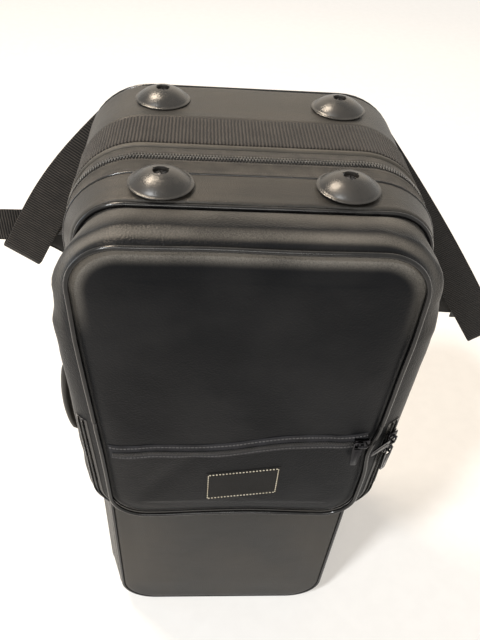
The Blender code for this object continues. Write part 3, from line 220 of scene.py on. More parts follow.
@dataclass(frozen=True)
class Leatherette:
    """Artificial leather: a pebbled grain with fine streaks and rubbed places."""

    dark: Colour = (0.016, 0.0155, 0.0145)
    light: Colour = (0.038, 0.034, 0.029)
    roughness: float = 0.42
    pebble: float = 900.0
    relief: float = 0.00028
    streaks: Colour = (6.0, 160.0, 6.0)
    specular: float = 0.24

    def paint(self, t: ShaderTree) -> bpy.types.Material:
        """Return the material."""
        pebbles = t.pebbles(self.pebble)
        fine = t.grain(2600.0, 2.0)
        cloudy = t.grain(14.0, 3.0)
        streaks = t.grain(1.0, 2.0, t.stretched(self.streaks))
        tone = (cloudy * 0.5 + streaks * 0.35 + fine * 0.15).band(0.35, 0.65)
        rub = t.grain(45.0, 4.0, rough=0.7).band(0.58, 0.75)
        colour = t.blend(tone * 0.8 + rub * 0.2, self.dark, self.light)
        rough = self.roughness + (cloudy - 0.5) * 0.18 + (streaks - 0.5) * 0.14 + rub * 0.05
        grain = t.bump(pebbles * 0.75 + fine * 0.35, self.relief)
        return t.finish(colour, rough, t.bump(cloudy, 0.0012, grain), Specular_IOR_Level=self.specular)


@dataclass(frozen=True)
class PocketLeather:
    """The pocket's supple black leather, with a painted sheen in pale bands where it rolls over beside the piping, and
    painted shade in the groove next to the piping.
    """

    dark: Colour = (0.0036, 0.0042, 0.0054)
    light: Colour = (0.0095, 0.0100, 0.0112)
    # Colour of the painted sheen, laid where light catches the rolled leather.
    painted_sheen: Colour = (0.145, 0.138, 0.126)
    roughness: float = 0.34

    def paint(self, t: ShaderTree) -> bpy.types.Material:
        """Return the material."""
        across = t.across()
        height = t.node("ShaderNodeSeparateXYZ", inputs={0: t.place()}, output="Z")
        cloudy = t.grain(13.0, 3.0)
        fine = t.grain(1300.0, 3.0, rough=0.65)
        pebbles = t.pebbles(620.0)
        # Painted sheen: pale speckled bands on the upper gusset, on its ridge, on the panel's rolled top edge and on
        # its low edge, where light catches the leather.
        upper = across.band(0.002, 0.007) * (1.0 - across.band(0.010, 0.026)) * height.band(0.50, 0.63)
        ridge = across.band(0.025, 0.032) * (1.0 - across.band(0.033, 0.039)) * height.band(0.50, 0.63)
        roll = across.band(0.0500, 0.0530) * (1.0 - across.band(0.0540, 0.0660)) * height.band(0.54, 0.625)
        low = across.band(0.0500, 0.0530) * (1.0 - across.band(0.0540, 0.0640)) * (1.0 - height.band(0.30, 0.33))
        speckle = (fine * 0.6 + cloudy * 0.7).band(0.25, 0.95)
        wear_and_painted_sheen = (upper * 0.66 + ridge * 0.80 + roll * 1.75 + low * 0.22) * speckle
        # Painted shade: a near-black band in the groove between the gusset and the front piping.
        painted_groove_shade = across.band(0.0395, 0.0415) * (1.0 - across.band(0.0500, 0.0515))
        colour = t.blend(cloudy.band(0.35, 0.7), self.dark, self.light)
        # The pale painted sheen colour is laid over the leather through this mask.
        colour = t.blend(wear_and_painted_sheen.lowest(1.0), colour, self.painted_sheen)
        colour = t.blend(painted_groove_shade * 0.8, colour, (0.002, 0.002, 0.002))
        rough = self.roughness + (cloudy - 0.5) * 0.2 + wear_and_painted_sheen * 0.1
        grain = t.bump(pebbles * 0.75 + fine * 0.4, 0.00026)
        return t.finish(colour, rough, t.bump(cloudy, 0.0014, grain), Specular_IOR_Level=0.085)


@dataclass(frozen=True)
class Cord:
    """Glossy vinyl piping with a faint unevenness."""

    dark: Colour = (0.005, 0.005, 0.0055)
    light: Colour = (0.012, 0.012, 0.012)
    roughness: float = 0.20

    def paint(self, t: ShaderTree) -> bpy.types.Material:
        """Return the material."""
        lumps = t.grain(60.0, 2.0)
        fine = t.grain(1500.0, 2.0)
        colour = t.blend(lumps.band(0.35, 0.7), self.dark, self.light)
        rough = self.roughness + (lumps - 0.5) * 0.08
        return t.finish(colour, rough, t.bump(lumps + fine * 0.06, 0.00012), Coat_Weight=0.28, Coat_Roughness=0.14,
                        Specular_IOR_Level=0.2)


@dataclass(frozen=True)
class Webbing:
    """Woven band with ribs at a pitch, each rib of twisted threads."""

    gap: Colour = (0.004, 0.003, 0.003)
    thread: Colour = (0.064, 0.057, 0.050)
    pitch: float = 0.0030
    thread_pitch: float = 0.0011
    relief: float = 0.0009
    ribs_across: bool = False

    def paint(self, t: ShaderTree) -> bpy.types.Material:
        """Return the material."""
        run, width = (t.across(), t.along()) if self.ribs_across else (t.along(), t.across())
        wander = (t.grain(160.0, 2.0, t.cloth_place()) - 0.5) * 0.0012
        rib = abs(((run + wander) * (math.pi / self.pitch)).sine())
        twist = abs(((width + run * 0.35) * (math.pi / self.thread_pitch)).sine())
        fuzz = t.grain(2200.0, 3.0, t.cloth_place())
        wear = t.grain(60.0, 3.0, t.cloth_place())
        height = rib * (0.55 + twist * 0.45)
        # Painted shade: the tone follows the rib height, so the low places between the ribs take the near-black gap
        # colour.
        tone = (height * 0.9 + (fuzz - 0.5) * 0.6 + (wear - 0.5) * 0.4).band(0.32, 0.95)
        colour = t.blend(tone, self.gap, self.thread)
        normal = t.bump(height + fuzz * 0.2, self.relief)
        return t.finish(colour, 0.72 + (fuzz - 0.5) * 0.2, normal, Sheen_Weight=0.06, Sheen_Roughness=0.4,
                        Specular_IOR_Level=0.22)


@dataclass(frozen=True)
class ZipTape:
    """Herringbone zip tape with rows of stitches at set widths."""

    dark: Colour = (0.010, 0.0095, 0.009)
    light: Colour = (0.055, 0.050, 0.043)
    stitch_rows: tuple[float, ...] = ()
    stitch_pitch: float = 0.0024
    sheen: float = 0.06
    thread: Colour = (0.090, 0.083, 0.074)

    def paint(self, t: ShaderTree) -> bpy.types.Material:
        """Return the material."""
        run, width = t.along(), t.across()
        zigzag = abs((width * (1.0 / 0.0030)).fraction() - 0.5) * 0.0016
        weave = abs(((run + zigzag) * (math.pi / 0.0009)).sine())
        fuzz = t.grain(1800.0, 4.0, t.cloth_place(), 0.65)
        blotch = t.grain(90.0, 3.0, t.cloth_place())
        tone = (weave * 0.4 + fuzz * 0.7 + (blotch - 0.5) * 0.8).band(0.25, 0.95)
        colour = t.blend(tone, self.dark, self.light)
        height = weave * 0.5 + fuzz * 0.4
        for row in self.stitch_rows:
            near = 1.0 - (abs(width - row) - 0.0004).band(0.0, 0.0005)
            dash = 1.0 - abs((run * (1.0 / self.stitch_pitch)).fraction() - 0.5).band(0.28, 0.40)
            stitch = near * dash
            colour = t.blend(stitch * fuzz.band(0.40, 0.62), colour, self.thread)
            height = height + stitch * 1.6 - near * 0.8
        return t.finish(colour, 0.78, t.bump(height, 0.00045), Sheen_Weight=self.sheen, Sheen_Roughness=0.5,
                        Specular_IOR_Level=0.25)


@dataclass(frozen=True)
class Moulded:
    """Moulded rubber, nylon or plastic with handling marks."""

    dark: Colour
    light: Colour
    roughness: float = 0.4
    relief: float = 0.00006

    def paint(self, t: ShaderTree) -> bpy.types.Material:
        """Return the material."""
        cloudy = t.grain(70.0, 4.0)
        fine = t.grain(3200.0, 2.0)
        scuffs = t.grain(1.0, 4.0, t.stretched((90.0, 500.0, 90.0), 35.0), 0.7).band(0.60, 0.72)
        colour = t.blend(cloudy.band(0.3, 0.7) * 0.75 + scuffs * 0.25, self.dark, self.light)
        rough = self.roughness + (cloudy - 0.5) * 0.2 + scuffs * 0.12
        return t.finish(colour, rough, t.bump(fine + scuffs * 0.5, self.relief))


@dataclass(frozen=True)
class Metal:
    """Plated metal with rubbed high places."""

    colour: Colour
    wear_and_painted_sheen: Colour
    roughness: float = 0.3
    wear_from: float = 0.62

    def paint(self, t: ShaderTree) -> bpy.types.Material:
        """Return the material."""
        wear = t.grain(420.0, 4.0, rough=0.7).band(self.wear_from, self.wear_from + 0.12)
        cloudy = t.grain(150.0, 2.0)
        colour = t.blend(wear, self.colour, self.wear_and_painted_sheen)
        rough = self.roughness + (cloudy - 0.5) * 0.25 + wear * 0.1
        return t.finish(colour, rough, t.bump(cloudy + wear * 0.3, 0.00005), Metallic=1.0)


@dataclass(frozen=True)
class Plush:
    """Short pile over foam, brushed in patches."""

    dark: Colour = (0.020, 0.021, 0.028)
    light: Colour = (0.085, 0.088, 0.110)

    def paint(self, t: ShaderTree) -> bpy.types.Material:
        """Return the material."""
        pile = t.grain(1500.0, 4.0, rough=0.7)
        brushed = t.grain(22.0, 4.0, rough=0.65)
        colour = t.blend((pile * 0.75 + brushed * 0.3).band(0.30, 0.80), self.dark, self.light)
        return t.finish(colour, 0.95, t.bump(pile, 0.0008, t.bump(brushed, 0.002)), Sheen_Weight=0.22,
                        Sheen_Roughness=0.5)


@dataclass(frozen=True)
class WovenPad:
    """Fine plain-woven nylon on padding, in the Object coordinates so that it needs no map."""

    dark: Colour = (0.012, 0.012, 0.013)
    light: Colour = (0.050, 0.049, 0.048)
    pitch: float = 0.0011

    def paint(self, t: ShaderTree) -> bpy.types.Material:
        """Return the material."""
        parts = {axis: t.node("ShaderNodeSeparateXYZ", inputs={0: t.place()}, output=axis) for axis in "XYZ"}
        turn = math.pi / self.pitch
        over = abs(((parts["X"] + parts["Y"] * 0.6) * turn).sine())
        under = abs((parts["Z"] * turn).sine())
        fuzz = t.grain(2400.0, 3.0)
        wear = t.grain(40.0, 3.0)
        height = over.highest(under) * 0.7 + fuzz * 0.3
        colour = t.blend((height * 0.7 + wear * 0.4).band(0.3, 1.0), self.dark, self.light)
        return t.finish(colour, 0.82, t.bump(height, 0.0003), Sheen_Weight=0.04, Sheen_Roughness=0.4,
                        Specular_IOR_Level=0.15)


class Finish(Enum):
    """The case's finishes, by the record's material slot."""

    LEATHERETTE = ("leatherette", Leatherette())
    BINDING = ("binding", Leatherette((0.028, 0.026, 0.022), (0.070, 0.064, 0.055), 0.52, 1100.0, 0.00014))
    PIPING = ("piping", Cord())
    WEBBING = ("webbing", Webbing())
    STRAP = ("webbing", Webbing((0.003, 0.003, 0.003), (0.070, 0.061, 0.054), 0.0030, 0.0010, 0.0007, True))
    # A shaded copy of the strap webbing: its thread is painted darker for the right strap, which lies in shade.
    SHADED_STRAP = ("webbing", Webbing((0.002, 0.002, 0.002), (0.024, 0.021, 0.019), 0.0030, 0.0010, 0.0007, True))
    TAPE = ("tape", ZipTape(stitch_rows=(0.0475, 0.0835)))
    PANEL_TAPE = ("tape", ZipTape((0.002, 0.002, 0.0026), (0.020, 0.021, 0.026), (0.0030, 0.0168), 0.0034, 0.02,
                                  (0.20, 0.20, 0.21)))
    COIL = ("coil", Moulded((0.014, 0.014, 0.014), (0.052, 0.051, 0.049), 0.20))
    # The cord under the teeth, painted near black to stand for the shade in the gaps between the teeth.
    CORE = ("coil", Moulded((0.004, 0.004, 0.004), (0.010, 0.010, 0.010), 0.6))
    POCKET_COIL = ("coil", Moulded((0.005, 0.005, 0.005), (0.028, 0.027, 0.025), 0.22))
    FRONT_COIL = ("coil", Moulded((0.003, 0.003, 0.0035), (0.012, 0.012, 0.013), 0.20))
    LINING = ("shell_board", Plush((0.016, 0.016, 0.021), (0.060, 0.062, 0.078)))
    POCKET = ("pocket_leatherette", PocketLeather())
    RUBBER = ("rubber", Moulded((0.010, 0.0092, 0.0084), (0.022, 0.0198, 0.0176), 0.28))
    DARK_METAL = ("dark_metal", Metal((0.022, 0.022, 0.025), (0.16, 0.15, 0.13), 0.20, 0.66))
    STEEL = ("steel", Metal((0.40, 0.40, 0.41), (0.62, 0.60, 0.56), 0.28, 0.55))
    SCREW = ("steel", Metal((0.045, 0.045, 0.048), (0.20, 0.19, 0.18), 0.42, 0.60))
    PLUSH = ("plush", Plush())
    LABEL = ("label_fabric", WovenPad((0.003, 0.003, 0.003), (0.014, 0.014, 0.014), 0.0007))
    PAD = ("pad_fabric", WovenPad())
    PLASTIC = ("black_plastic", Moulded((0.012, 0.012, 0.012), (0.030, 0.030, 0.030), 0.34))
    BINDING_DARK = ("binding", Leatherette((0.012, 0.012, 0.012), (0.030, 0.030, 0.030), 0.5, 1300.0, 0.00010))
    TAPE_THREAD = ("tape", Moulded((0.020, 0.020, 0.020), (0.050, 0.048, 0.046), 0.6))
    THREAD = ("binding", Moulded((0.42, 0.38, 0.29), (0.62, 0.58, 0.48), 0.7))

    @property
    def slot(self) -> str:
        """Return the material slot's name."""
        return self.value[0]

    def material(self) -> bpy.types.Material:
        """Return this finish's material, made on first use."""
        name = f"finish_{self.name.lower()}"
        return bpy.data.materials.get(name) or self.value[1].paint(ShaderTree(name))


# Modelling bench


class Bench:
    """The modelling steps that the pieces share, each made of Blender's own operators."""

    @staticmethod
    def clear() -> None:
        """Leave edit mode and deselect everything."""
        if bpy.context.object is not None and bpy.context.object.mode != "OBJECT":
            bpy.ops.object.mode_set(mode="OBJECT")
        bpy.ops.object.select_all(action="DESELECT")

    @classmethod
    def take(cls, obj: Object) -> None:
        """Make one object the only selected and active one."""
        cls.clear()
        obj.select_set(True)
        bpy.context.view_layer.objects.active = obj

    @classmethod
    @contextmanager
    def editing(cls, obj: Object) -> Iterator[None]:
        """Open a piece in edit mode with all of it selected, and close it again."""
        cls.take(obj)
        bpy.ops.object.mode_set(mode="EDIT")
        bpy.ops.mesh.select_all(action="SELECT")
        yield
        bpy.ops.object.mode_set(mode="OBJECT")

    @classmethod
    @contextmanager
    def opened(cls, mesh: bpy.types.Mesh) -> Iterator[bmesh.types.BMesh]:
        """Open a mesh as a BMesh and write it back."""
        work = bmesh.new()
        work.from_mesh(mesh)
        work.verts.ensure_lookup_table()
        yield work
        work.to_mesh(mesh)
        work.free()

    @staticmethod
    def linked(name: str, data: bpy.types.ID) -> Object:
        """Return a new object in the scene for some data."""
        obj = bpy.data.objects.new(name, data)
        bpy.context.scene.collection.objects.link(obj)
        return obj

    @classmethod
    def named(cls, name: str) -> Object:
        """Name the primitive that was just added and return it."""
        obj = bpy.context.active_object
        obj.name = name
        obj.data.name = name
        return obj

    @classmethod
    def loft(cls, name: str, rings: Sequence[Ring], closed: bool = True, section: bool = False,
             fill: bool = False, pole: bool = False, widths: Optional[Sequence[float]] = None) -> Object:
        """Model a skin: a circle of edges is laid on the first ring and extruded from ring to ring.

        Args:
            name: the piece's name.
            rings: rings of equal point counts.
            closed: False for open lines in place of rings.
            section: True to join the last ring to the first.
            fill: True to fill the holes that are left.
            pole: True to close the last ring in its centre.
            widths: distance across the piece of each ring, for the cloth map.

        Returns:
            The new object, with a UV map named cloth in metres.
        """
        count = len(rings[0])
        cls.clear()
        bpy.ops.mesh.primitive_circle_add(vertices=count, radius=0.1)
        obj = cls.named(name)
        mesh = obj.data
        with cls.opened(mesh) as work:
            place = work.verts.layers.int.new("place")
            work.verts.layers.int.new("row")
            for i, vert in enumerate(work.verts):
                vert.co = rings[0][i]
                vert[place] = i
            if not closed:
                work.edges.remove(work.edges.get((work.verts[count - 1], work.verts[0])))
        chain = list(rings[1:]) + ([rings[0]] if section else [])
        with cls.editing(obj):
            for k, ring in enumerate(chain, start=1):
                bpy.ops.mesh.extrude_region_move()
                work = bmesh.from_edit_mesh(mesh)
                place, row = work.verts.layers.int["place"], work.verts.layers.int["row"]
                for vert in work.verts:
                    if vert.select:
                        vert.co = ring[vert[place]]
                        vert[row] = k
                bmesh.update_edit_mesh(mesh)
            if pole:
                bpy.ops.mesh.merge(type="CENTER")
        cls._map_cloth(mesh, [rings[0]] + chain, widths, closed)
        with cls.editing(obj):
            if section or pole:
                bpy.ops.mesh.remove_doubles(threshold=0.000001)
            if fill:
                bpy.ops.mesh.fill_holes(sides=0)
                bpy.ops.mesh.select_all(action="SELECT")
            bpy.ops.mesh.normals_make_consistent(inside=False)
        return obj

    @classmethod
    def _map_cloth(cls, mesh: bpy.types.Mesh, rings: Sequence[Ring], widths: Optional[Sequence[float]],
                   closed: bool) -> None:
        """Write the cloth map: length along the middle ring, and width across the rings, in metres."""
        middle = rings[len(rings) // 2]
        lengths = Line(middle, closed=True).lengths
        widths = widths or Line([ring[0] for ring in rings]).lengths
        count = len(middle)
        with cls.opened(mesh) as work:
            place, row = work.verts.layers.int["place"], work.verts.layers.int["row"]
            layer = work.loops.layers.uv.get("cloth") or work.loops.layers.uv.new("cloth")
            for face in work.faces:
                places = {vert[place] for vert in face.verts}
                wraps = closed and {0, count - 1} <= places
                for loop in face.loops:
                    at = loop.vert[place]
                    loop[layer].uv = (lengths[count] if wraps and at == 0 else lengths[at],
                                      widths[min(loop.vert[row], len(widths) - 1)])

    @classmethod
    def box(cls, name: str, low: Colour, high: Colour, bevel: float = 0.0, segments: int = 3) -> Object:
        """Model a block between two corners: a cube, scaled in edit mode and bevelled.

        Args:
            name: the piece's name.
            low: lowest corner.
            high: highest corner.
            bevel: width of the rounded edges.
            segments: steps of the rounding.

        Returns:
            The new object.
        """
        cls.clear()
        centre = (Vector(low) + Vector(high)) / 2
        bpy.ops.mesh.primitive_cube_add(size=1.0, location=(0.0, 0.0, 0.0))
        obj = cls.named(name)
        with cls.editing(obj):
            bpy.ops.transform.resize(value=tuple(Vector(high) - Vector(low)))
            bpy.ops.transform.translate(value=tuple(centre))
            if bevel > 0.0:
                bpy.ops.mesh.bevel(offset=bevel, offset_type="OFFSET", segments=segments, affect="EDGES", profile=0.5)
            bpy.ops.mesh.normals_make_consistent(inside=False)
        return obj

    @classmethod
    def turned(cls, name: str, profile: Sequence[Point2], steps: int = 48) -> Object:
        """Model a turned piece: a profile from the axis outwards, spun round Z and welded.

        Args:
            name: the piece's name.
            profile: (radius, height) points, the first and last on the axis.
            steps: steps of the turn.

        Returns:
            The new object.
        """
        cls.clear()
        bpy.ops.mesh.primitive_circle_add(vertices=len(profile), radius=0.01)
        obj = cls.named(name)
        with cls.opened(obj.data) as work:
            for vert, (radius, height) in zip(work.verts, profile):
                vert.co = (radius, 0.0, height)
            work.edges.remove(work.edges.get((work.verts[len(profile) - 1], work.verts[0])))
        with cls.editing(obj):
            bpy.ops.mesh.spin(steps=steps, angle=math.tau, center=(0.0, 0.0, 0.0), axis=(0.0, 0.0, 1.0))
            bpy.ops.mesh.select_all(action="SELECT")
            bpy.ops.mesh.remove_doubles(threshold=0.000005)
            bpy.ops.mesh.normals_make_consistent(inside=False)
        return obj

    @classmethod
    def tube(cls, name: str, points: Sequence[Vector], radius: float, closed: bool = False, sides: int = 8,
             squash: float = 1.0) -> Object:
        """Model a cord along a line: a circle extruded from station to station, its ends filled.

        Args:
            name: the piece's name.
            points: the line.
            radius: the cord's radius.
            closed: True for a ring.
            sides: points round the cord.
            squash: thickness along the second direction, as a share of the radius.

        Returns:
            The new object.
        """
        rings = []
        count = len(points)
        for i, here in enumerate(points):
            before = points[(i - 1) % count] if closed or i > 0 else here
            after = points[(i + 1) % count] if closed or i < count - 1 else here
            along = (after - before).normalized()
            side = along.cross(Vector((0.0, 1.0, 0.0))).normalized()
            rise = side.cross(along).normalized()
            rings.append([here + side * (radius * math.cos(a)) + rise * (radius * squash * math.sin(a))
                          for a in (math.tau * k / sides for k in range(sides))])
        return cls.loft(name, rings, section=closed, fill=not closed)

    @classmethod
    def copies(cls, name: str, unit: Object, frames: Sequence[Matrix]) -> Object:
        """Lay copies of one modelled unit at frames, as one mesh, and remove the unit.

        Args:
            name: the new piece's name.
            unit: the piece that repeats, modelled round the origin.
            frames: where each copy goes.

        Returns:
            The new object.
        """
        corners = [vert.co.copy() for vert in unit.data.vertices]
        faces = [tuple(face.vertices) for face in unit.data.polygons]
        smooth = [face.use_smooth for face in unit.data.polygons]
        verts: list[Vector] = []
        polygons: list[tuple[int, ...]] = []
        for matrix in frames:
            start = len(verts)
            verts += [matrix @ corner for corner in corners]
            polygons += [tuple(start + i for i in face) for face in faces]
        mesh = bpy.data.meshes.new(name)
        mesh.from_pydata(verts, [], polygons)
        mesh.polygons.foreach_set("use_smooth", smooth * len(frames))
        obj = Bench.linked(name, mesh)
        bpy.data.objects.remove(unit, do_unlink=True)
        return obj

    @classmethod
    def smooth(cls, obj: Object, angle: float = 40.0) -> Object:
        """Shade a piece smooth, with edges sharper than an angle kept."""
        cls.take(obj)
        bpy.ops.object.shade_smooth_by_angle(angle=math.radians(angle))
        return obj

    @classmethod
    def modify(cls, obj: Object, kind: str, **settings: object) -> Object:
        """Add a modifier with settings and apply it."""
        cls.take(obj)
        modifier = obj.modifiers.new(kind.lower(), kind)
        for key, value in settings.items():
            setattr(modifier, key, value)
        bpy.ops.object.modifier_apply(modifier=modifier.name)
        return obj

    @classmethod
    def eased(cls, obj: Object, width: float, segments: int, angle: float = 50.0) -> Object:
        """Bevel the edges of a piece that are sharper than an angle."""
        return cls.modify(obj, "BEVEL", width=width, segments=segments, limit_method="ANGLE",
                          angle_limit=math.radians(angle))

    @classmethod
    def cut(cls, obj: Object, tool: Object) -> Object:
        """Cut a tool out of a piece and remove the tool."""
        cls.modify(obj, "BOOLEAN", operation="DIFFERENCE", solver="EXACT", object=tool)
        bpy.data.objects.remove(tool, do_unlink=True)
        return obj

    @classmethod
    def sheet(cls, name: str, rows: Sequence[Ring], thickness: float,
              widths: Optional[Sequence[float]] = None) -> Object:
        """Model a thin sheet from rows of points, thickened inwards."""
        return cls.modify(cls.loft(name, rows, closed=False, widths=widths), "SOLIDIFY", thickness=thickness,
                          offset=-1.0)

    @classmethod
    def joined(cls, name: str, pieces: Sequence[Object]) -> Object:
        """Join pieces into one object under a name."""
        cls.clear()
        for piece in pieces:
            piece.select_set(True)
        bpy.context.view_layer.objects.active = pieces[0]
        bpy.ops.object.join()
        return cls.named(name)

    @classmethod
    def moved(cls, obj: Object, matrix: Matrix) -> Object:
        """Move a piece's mesh by a matrix and leave the object at the origin."""
        obj.data.transform(matrix)
        obj.data.update()
        return obj


def dress(obj: Object, finish: Finish, body: str, *nodes: str, angle: float = 40.0,
          bend: Optional[tuple[str, Colour, Colour]] = None) -> Object:
    """Give a finished piece its material and, unless a bend is given, its body.

    Args:
        obj: the piece.
        finish: its finish.
        body: the CAD body that it rides on.
        *nodes: CAD nodes that it stands for.
        angle: edges sharper than this stay sharp.
        bend: the second body of a piece that bends, and where the bend starts and ends; these values are not used, and
            such a piece only has its place baked into its mesh and rides on no body.

    Returns:
        The piece.
    """
    Bench.smooth(obj, angle)
    obj.data.materials.clear()
    obj.data.materials.append(finish.material())
    finish.slot
    if nodes:
        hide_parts(*nodes)
    if bend is None:
        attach(obj, body)
    else:
        other, start, end = bend
        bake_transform(obj)
        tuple(start)
        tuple(end)
    LOG.info("%s: %d faces on %s", obj.name, len(obj.data.polygons), body)
    return obj


def repaint(finish: Finish, *nodes: str) -> None:
    """Give CAD nodes that stay a finish of this script."""
    for node in nodes:
        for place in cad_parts[node].material_slots:
            place.material = finish.material()


def frame_of(origin: Vector, normal: Vector, travel: Vector) -> Matrix:
    """Return a frame at a point: X along the normal, Z along the travel, Y across."""
    z = Vector(travel).normalized()
    x = Vector(normal)
    x = (x - x.dot(z) * z).normalized()
    matrix = Matrix((x, z.cross(x), z)).transposed().to_4x4()
    matrix.translation = Vector(origin)
    return matrix


def off_middle(point: Vector, along: Vector, middle_z: float) -> Vector:
    """Return the direction off a wall's line, away from the middle of the ring that it is on."""
    normal = Vector((0, 1, 0)).cross(along).normalized()
    return -normal if normal.dot(Vector((point.x, 0.0, point.z - middle_z))) < 0 else normal


def wall_travel(half_at: Callable[[float], float], side: int) -> Vector:
    """Return the direction up a side wall, taken over the 160 mm round the sliders."""
    return Vector((side * (half_at(0.480) - half_at(0.320)), 0.0, 0.160)).normalized()


def ripple(*place: float) -> float:
    """Return a smooth random value at a place, the same on each run."""
    return noise.noise(Vector(place))


def step(low: float, high: float, value: float) -> float:
    """Return a smooth step from 0 at low to 1 at high."""
    share = min(1.0, max(0.0, (value - low) / (high - low)))
    return share * share * (3.0 - 2.0 * share)


def bell(value: float, middle: float, width: float) -> float:
    """Return a soft rise to 1 at a middle, which fades over a width on both sides."""
    return math.exp(-((value - middle) / width) ** 2)


class Line:
    """A line of points that can be read by its length."""

    def __init__(self, points: Sequence[Vector], closed: bool = False) -> None:
        """Keep the points and their lengths along the line."""
        self.points = list(points) + ([points[0]] if closed else [])
        self.lengths = [0.0]
        for here, there in zip(self.points, self.points[1:]):
            self.lengths.append(self.lengths[-1] + (there - here).length)

    @property
    def length(self) -> float:
        """Return the whole length."""
        return self.lengths[-1]

    def at(self, length: float) -> tuple[Vector, Vector]:
        """Return the point and the direction at a length."""
        low, high = 0, len(self.lengths) - 1
        while high - low > 1:
            middle = (low + high) // 2
            low, high = (middle, high) if self.lengths[middle] <= length else (low, middle)
        span = max(self.lengths[high] - self.lengths[low], 1e-9)
        share = (length - self.lengths[low]) / span
        start, end = self.points[low], self.points[high]
        return start.lerp(end, share), (end - start).normalized()

    def stations(self, pitch: float, start: float = 0.0, end: Optional[float] = None) -> list[tuple[Vector, Vector]]:
        """Return points and directions at an even pitch between two lengths."""
        end = self.length if end is None else end
        count = max(1, round((end - start) / pitch))
        return [self.at(start + (end - start) * (k + 0.5) / count) for k in range(count)]


# Outlines


def rounded_outline(half_at: Callable[[float], float], low: float, high: float, radius_low: float,
                    radius_high: float, ends: Optional[Point2] = None, corner_steps: int = 12,
                    side_steps: int = 16, bend: Optional[float] = None) -> list[Point2]:
    """Return an outline as (x, z) pairs, counterclockwise seen from the front.

    Args:
        half_at: half width at a height.
        low: lowest height.
        high: highest height.
        radius_low: radius of the lower corners.
        radius_high: radius of the upper corners.
        ends: heights on the right side where an open outline starts and stops.
        corner_steps: steps of each corner.
        side_steps: steps of each straight side.
        bend: height where the sides bend, or None for straight sides.

    Returns:
        The points, as many for each call with the same steps.
    """
    corners = []
    for side, centre_z, radius, start in (
        (1, low + radius_low, radius_low, -90), (1, high - radius_high, radius_high, 0),
        (-1, high - radius_high, radius_high, 90), (-1, low + radius_low, radius_low, 180),
    ):
        centre_x = side * (half_at(centre_z) - radius)
        angles = [math.radians(start + 90 * k / corner_steps) for k in range(corner_steps + 1)]
        corners.append([(centre_x + radius * math.cos(a), centre_z + radius * math.sin(a)) for a in angles])
    right = [] if bend is None else [[(half_at(bend), bend)]]
    left = [] if bend is None else [[(-half_at(bend), bend)]]
    if ends is None:
        chain = corners[:1] + right + corners[1:3] + left + corners[3:] + [corners[0][:1]]
    else:
        first, last = ends
        start = right if bend is not None and first < bend else []
        chain = [[(half_at(first), first)]] + start + corners[1:3] + left + corners[3:] + corners[:1]
        chain += [[(half_at(last), last)]]
    points = list(chain[0])
    for near, far in zip(chain, chain[1:]):
        (x0, z0), (x1, z1) = near[-1], far[0]
        points += [(x0 + (x1 - x0) * k / side_steps, z0 + (z1 - z0) * k / side_steps) for k in range(1, side_steps)]
        points += far
    return points[:-1] if ends is None else points


@dataclass(frozen=True)
class CaseOutline:
    """The case's outline, which the covers and bands follow."""

    height: float = 0.640
    depth: float = 0.212
    parting: float = 0.068
    zip_ends: Point2 = (0.560, 0.060)
    gap: float = 0.0003
    half_foot_end: float = 0.1565
    half_neck_end: float = 0.1505
    radius_foot_end: float = 0.066
    radius_neck_end: float = 0.046
    draw_in_x: float = 0.017
    draw_in_z: float = 0.002
    front_radius_foot_end: float = 0.040
    front_radius_neck_end: float = 0.044
    wall_depth: float = 0.044
    origin_depth: float = 0.115
    corner_steps: int = 12
    side_steps: int = 16

    def y(self, depth: float) -> float:
        """Return the Y coordinate of a depth behind the lid's front face."""
        return depth - self.origin_depth

    def half_width(self, z: float) -> float:
        """Return half of the case's width at a height, behind the lid's leaning wall."""
        return self.half_neck_end + (self.half_foot_end - self.half_neck_end) * z / self.height

    def ring(self, depth: float, inset: float = 0.0, ends: Optional[Point2] = None) -> Ring:
        """Return the outline at a depth, drawn in by an inset, and never below the standing surface."""
        lean = max(0.0, 1.0 - depth / self.wall_depth)
        radius_high = self.radius_foot_end + (self.front_radius_foot_end - self.radius_foot_end) * lean - inset
        radius_low = self.radius_neck_end + (self.front_radius_neck_end - self.radius_neck_end) * lean - inset
        points = rounded_outline(
            lambda z: self.half_width(z) - self.draw_in_x * lean - inset,
            max(inset, 0.0) + self.draw_in_z * lean, self.height - self.draw_in_z * lean - inset,
            radius_low, radius_high, ends, self.corner_steps, self.side_steps,
        )
        return [Vector((x, self.y(depth), z)) for x, z in points]

    def wall_place(self, z: float, depth: float, side: int, stand: float = 0.0) -> Vector:
        """Return a point on a side wall."""
        return Vector((side * (self.half_width(z) + stand), self.y(depth), z))


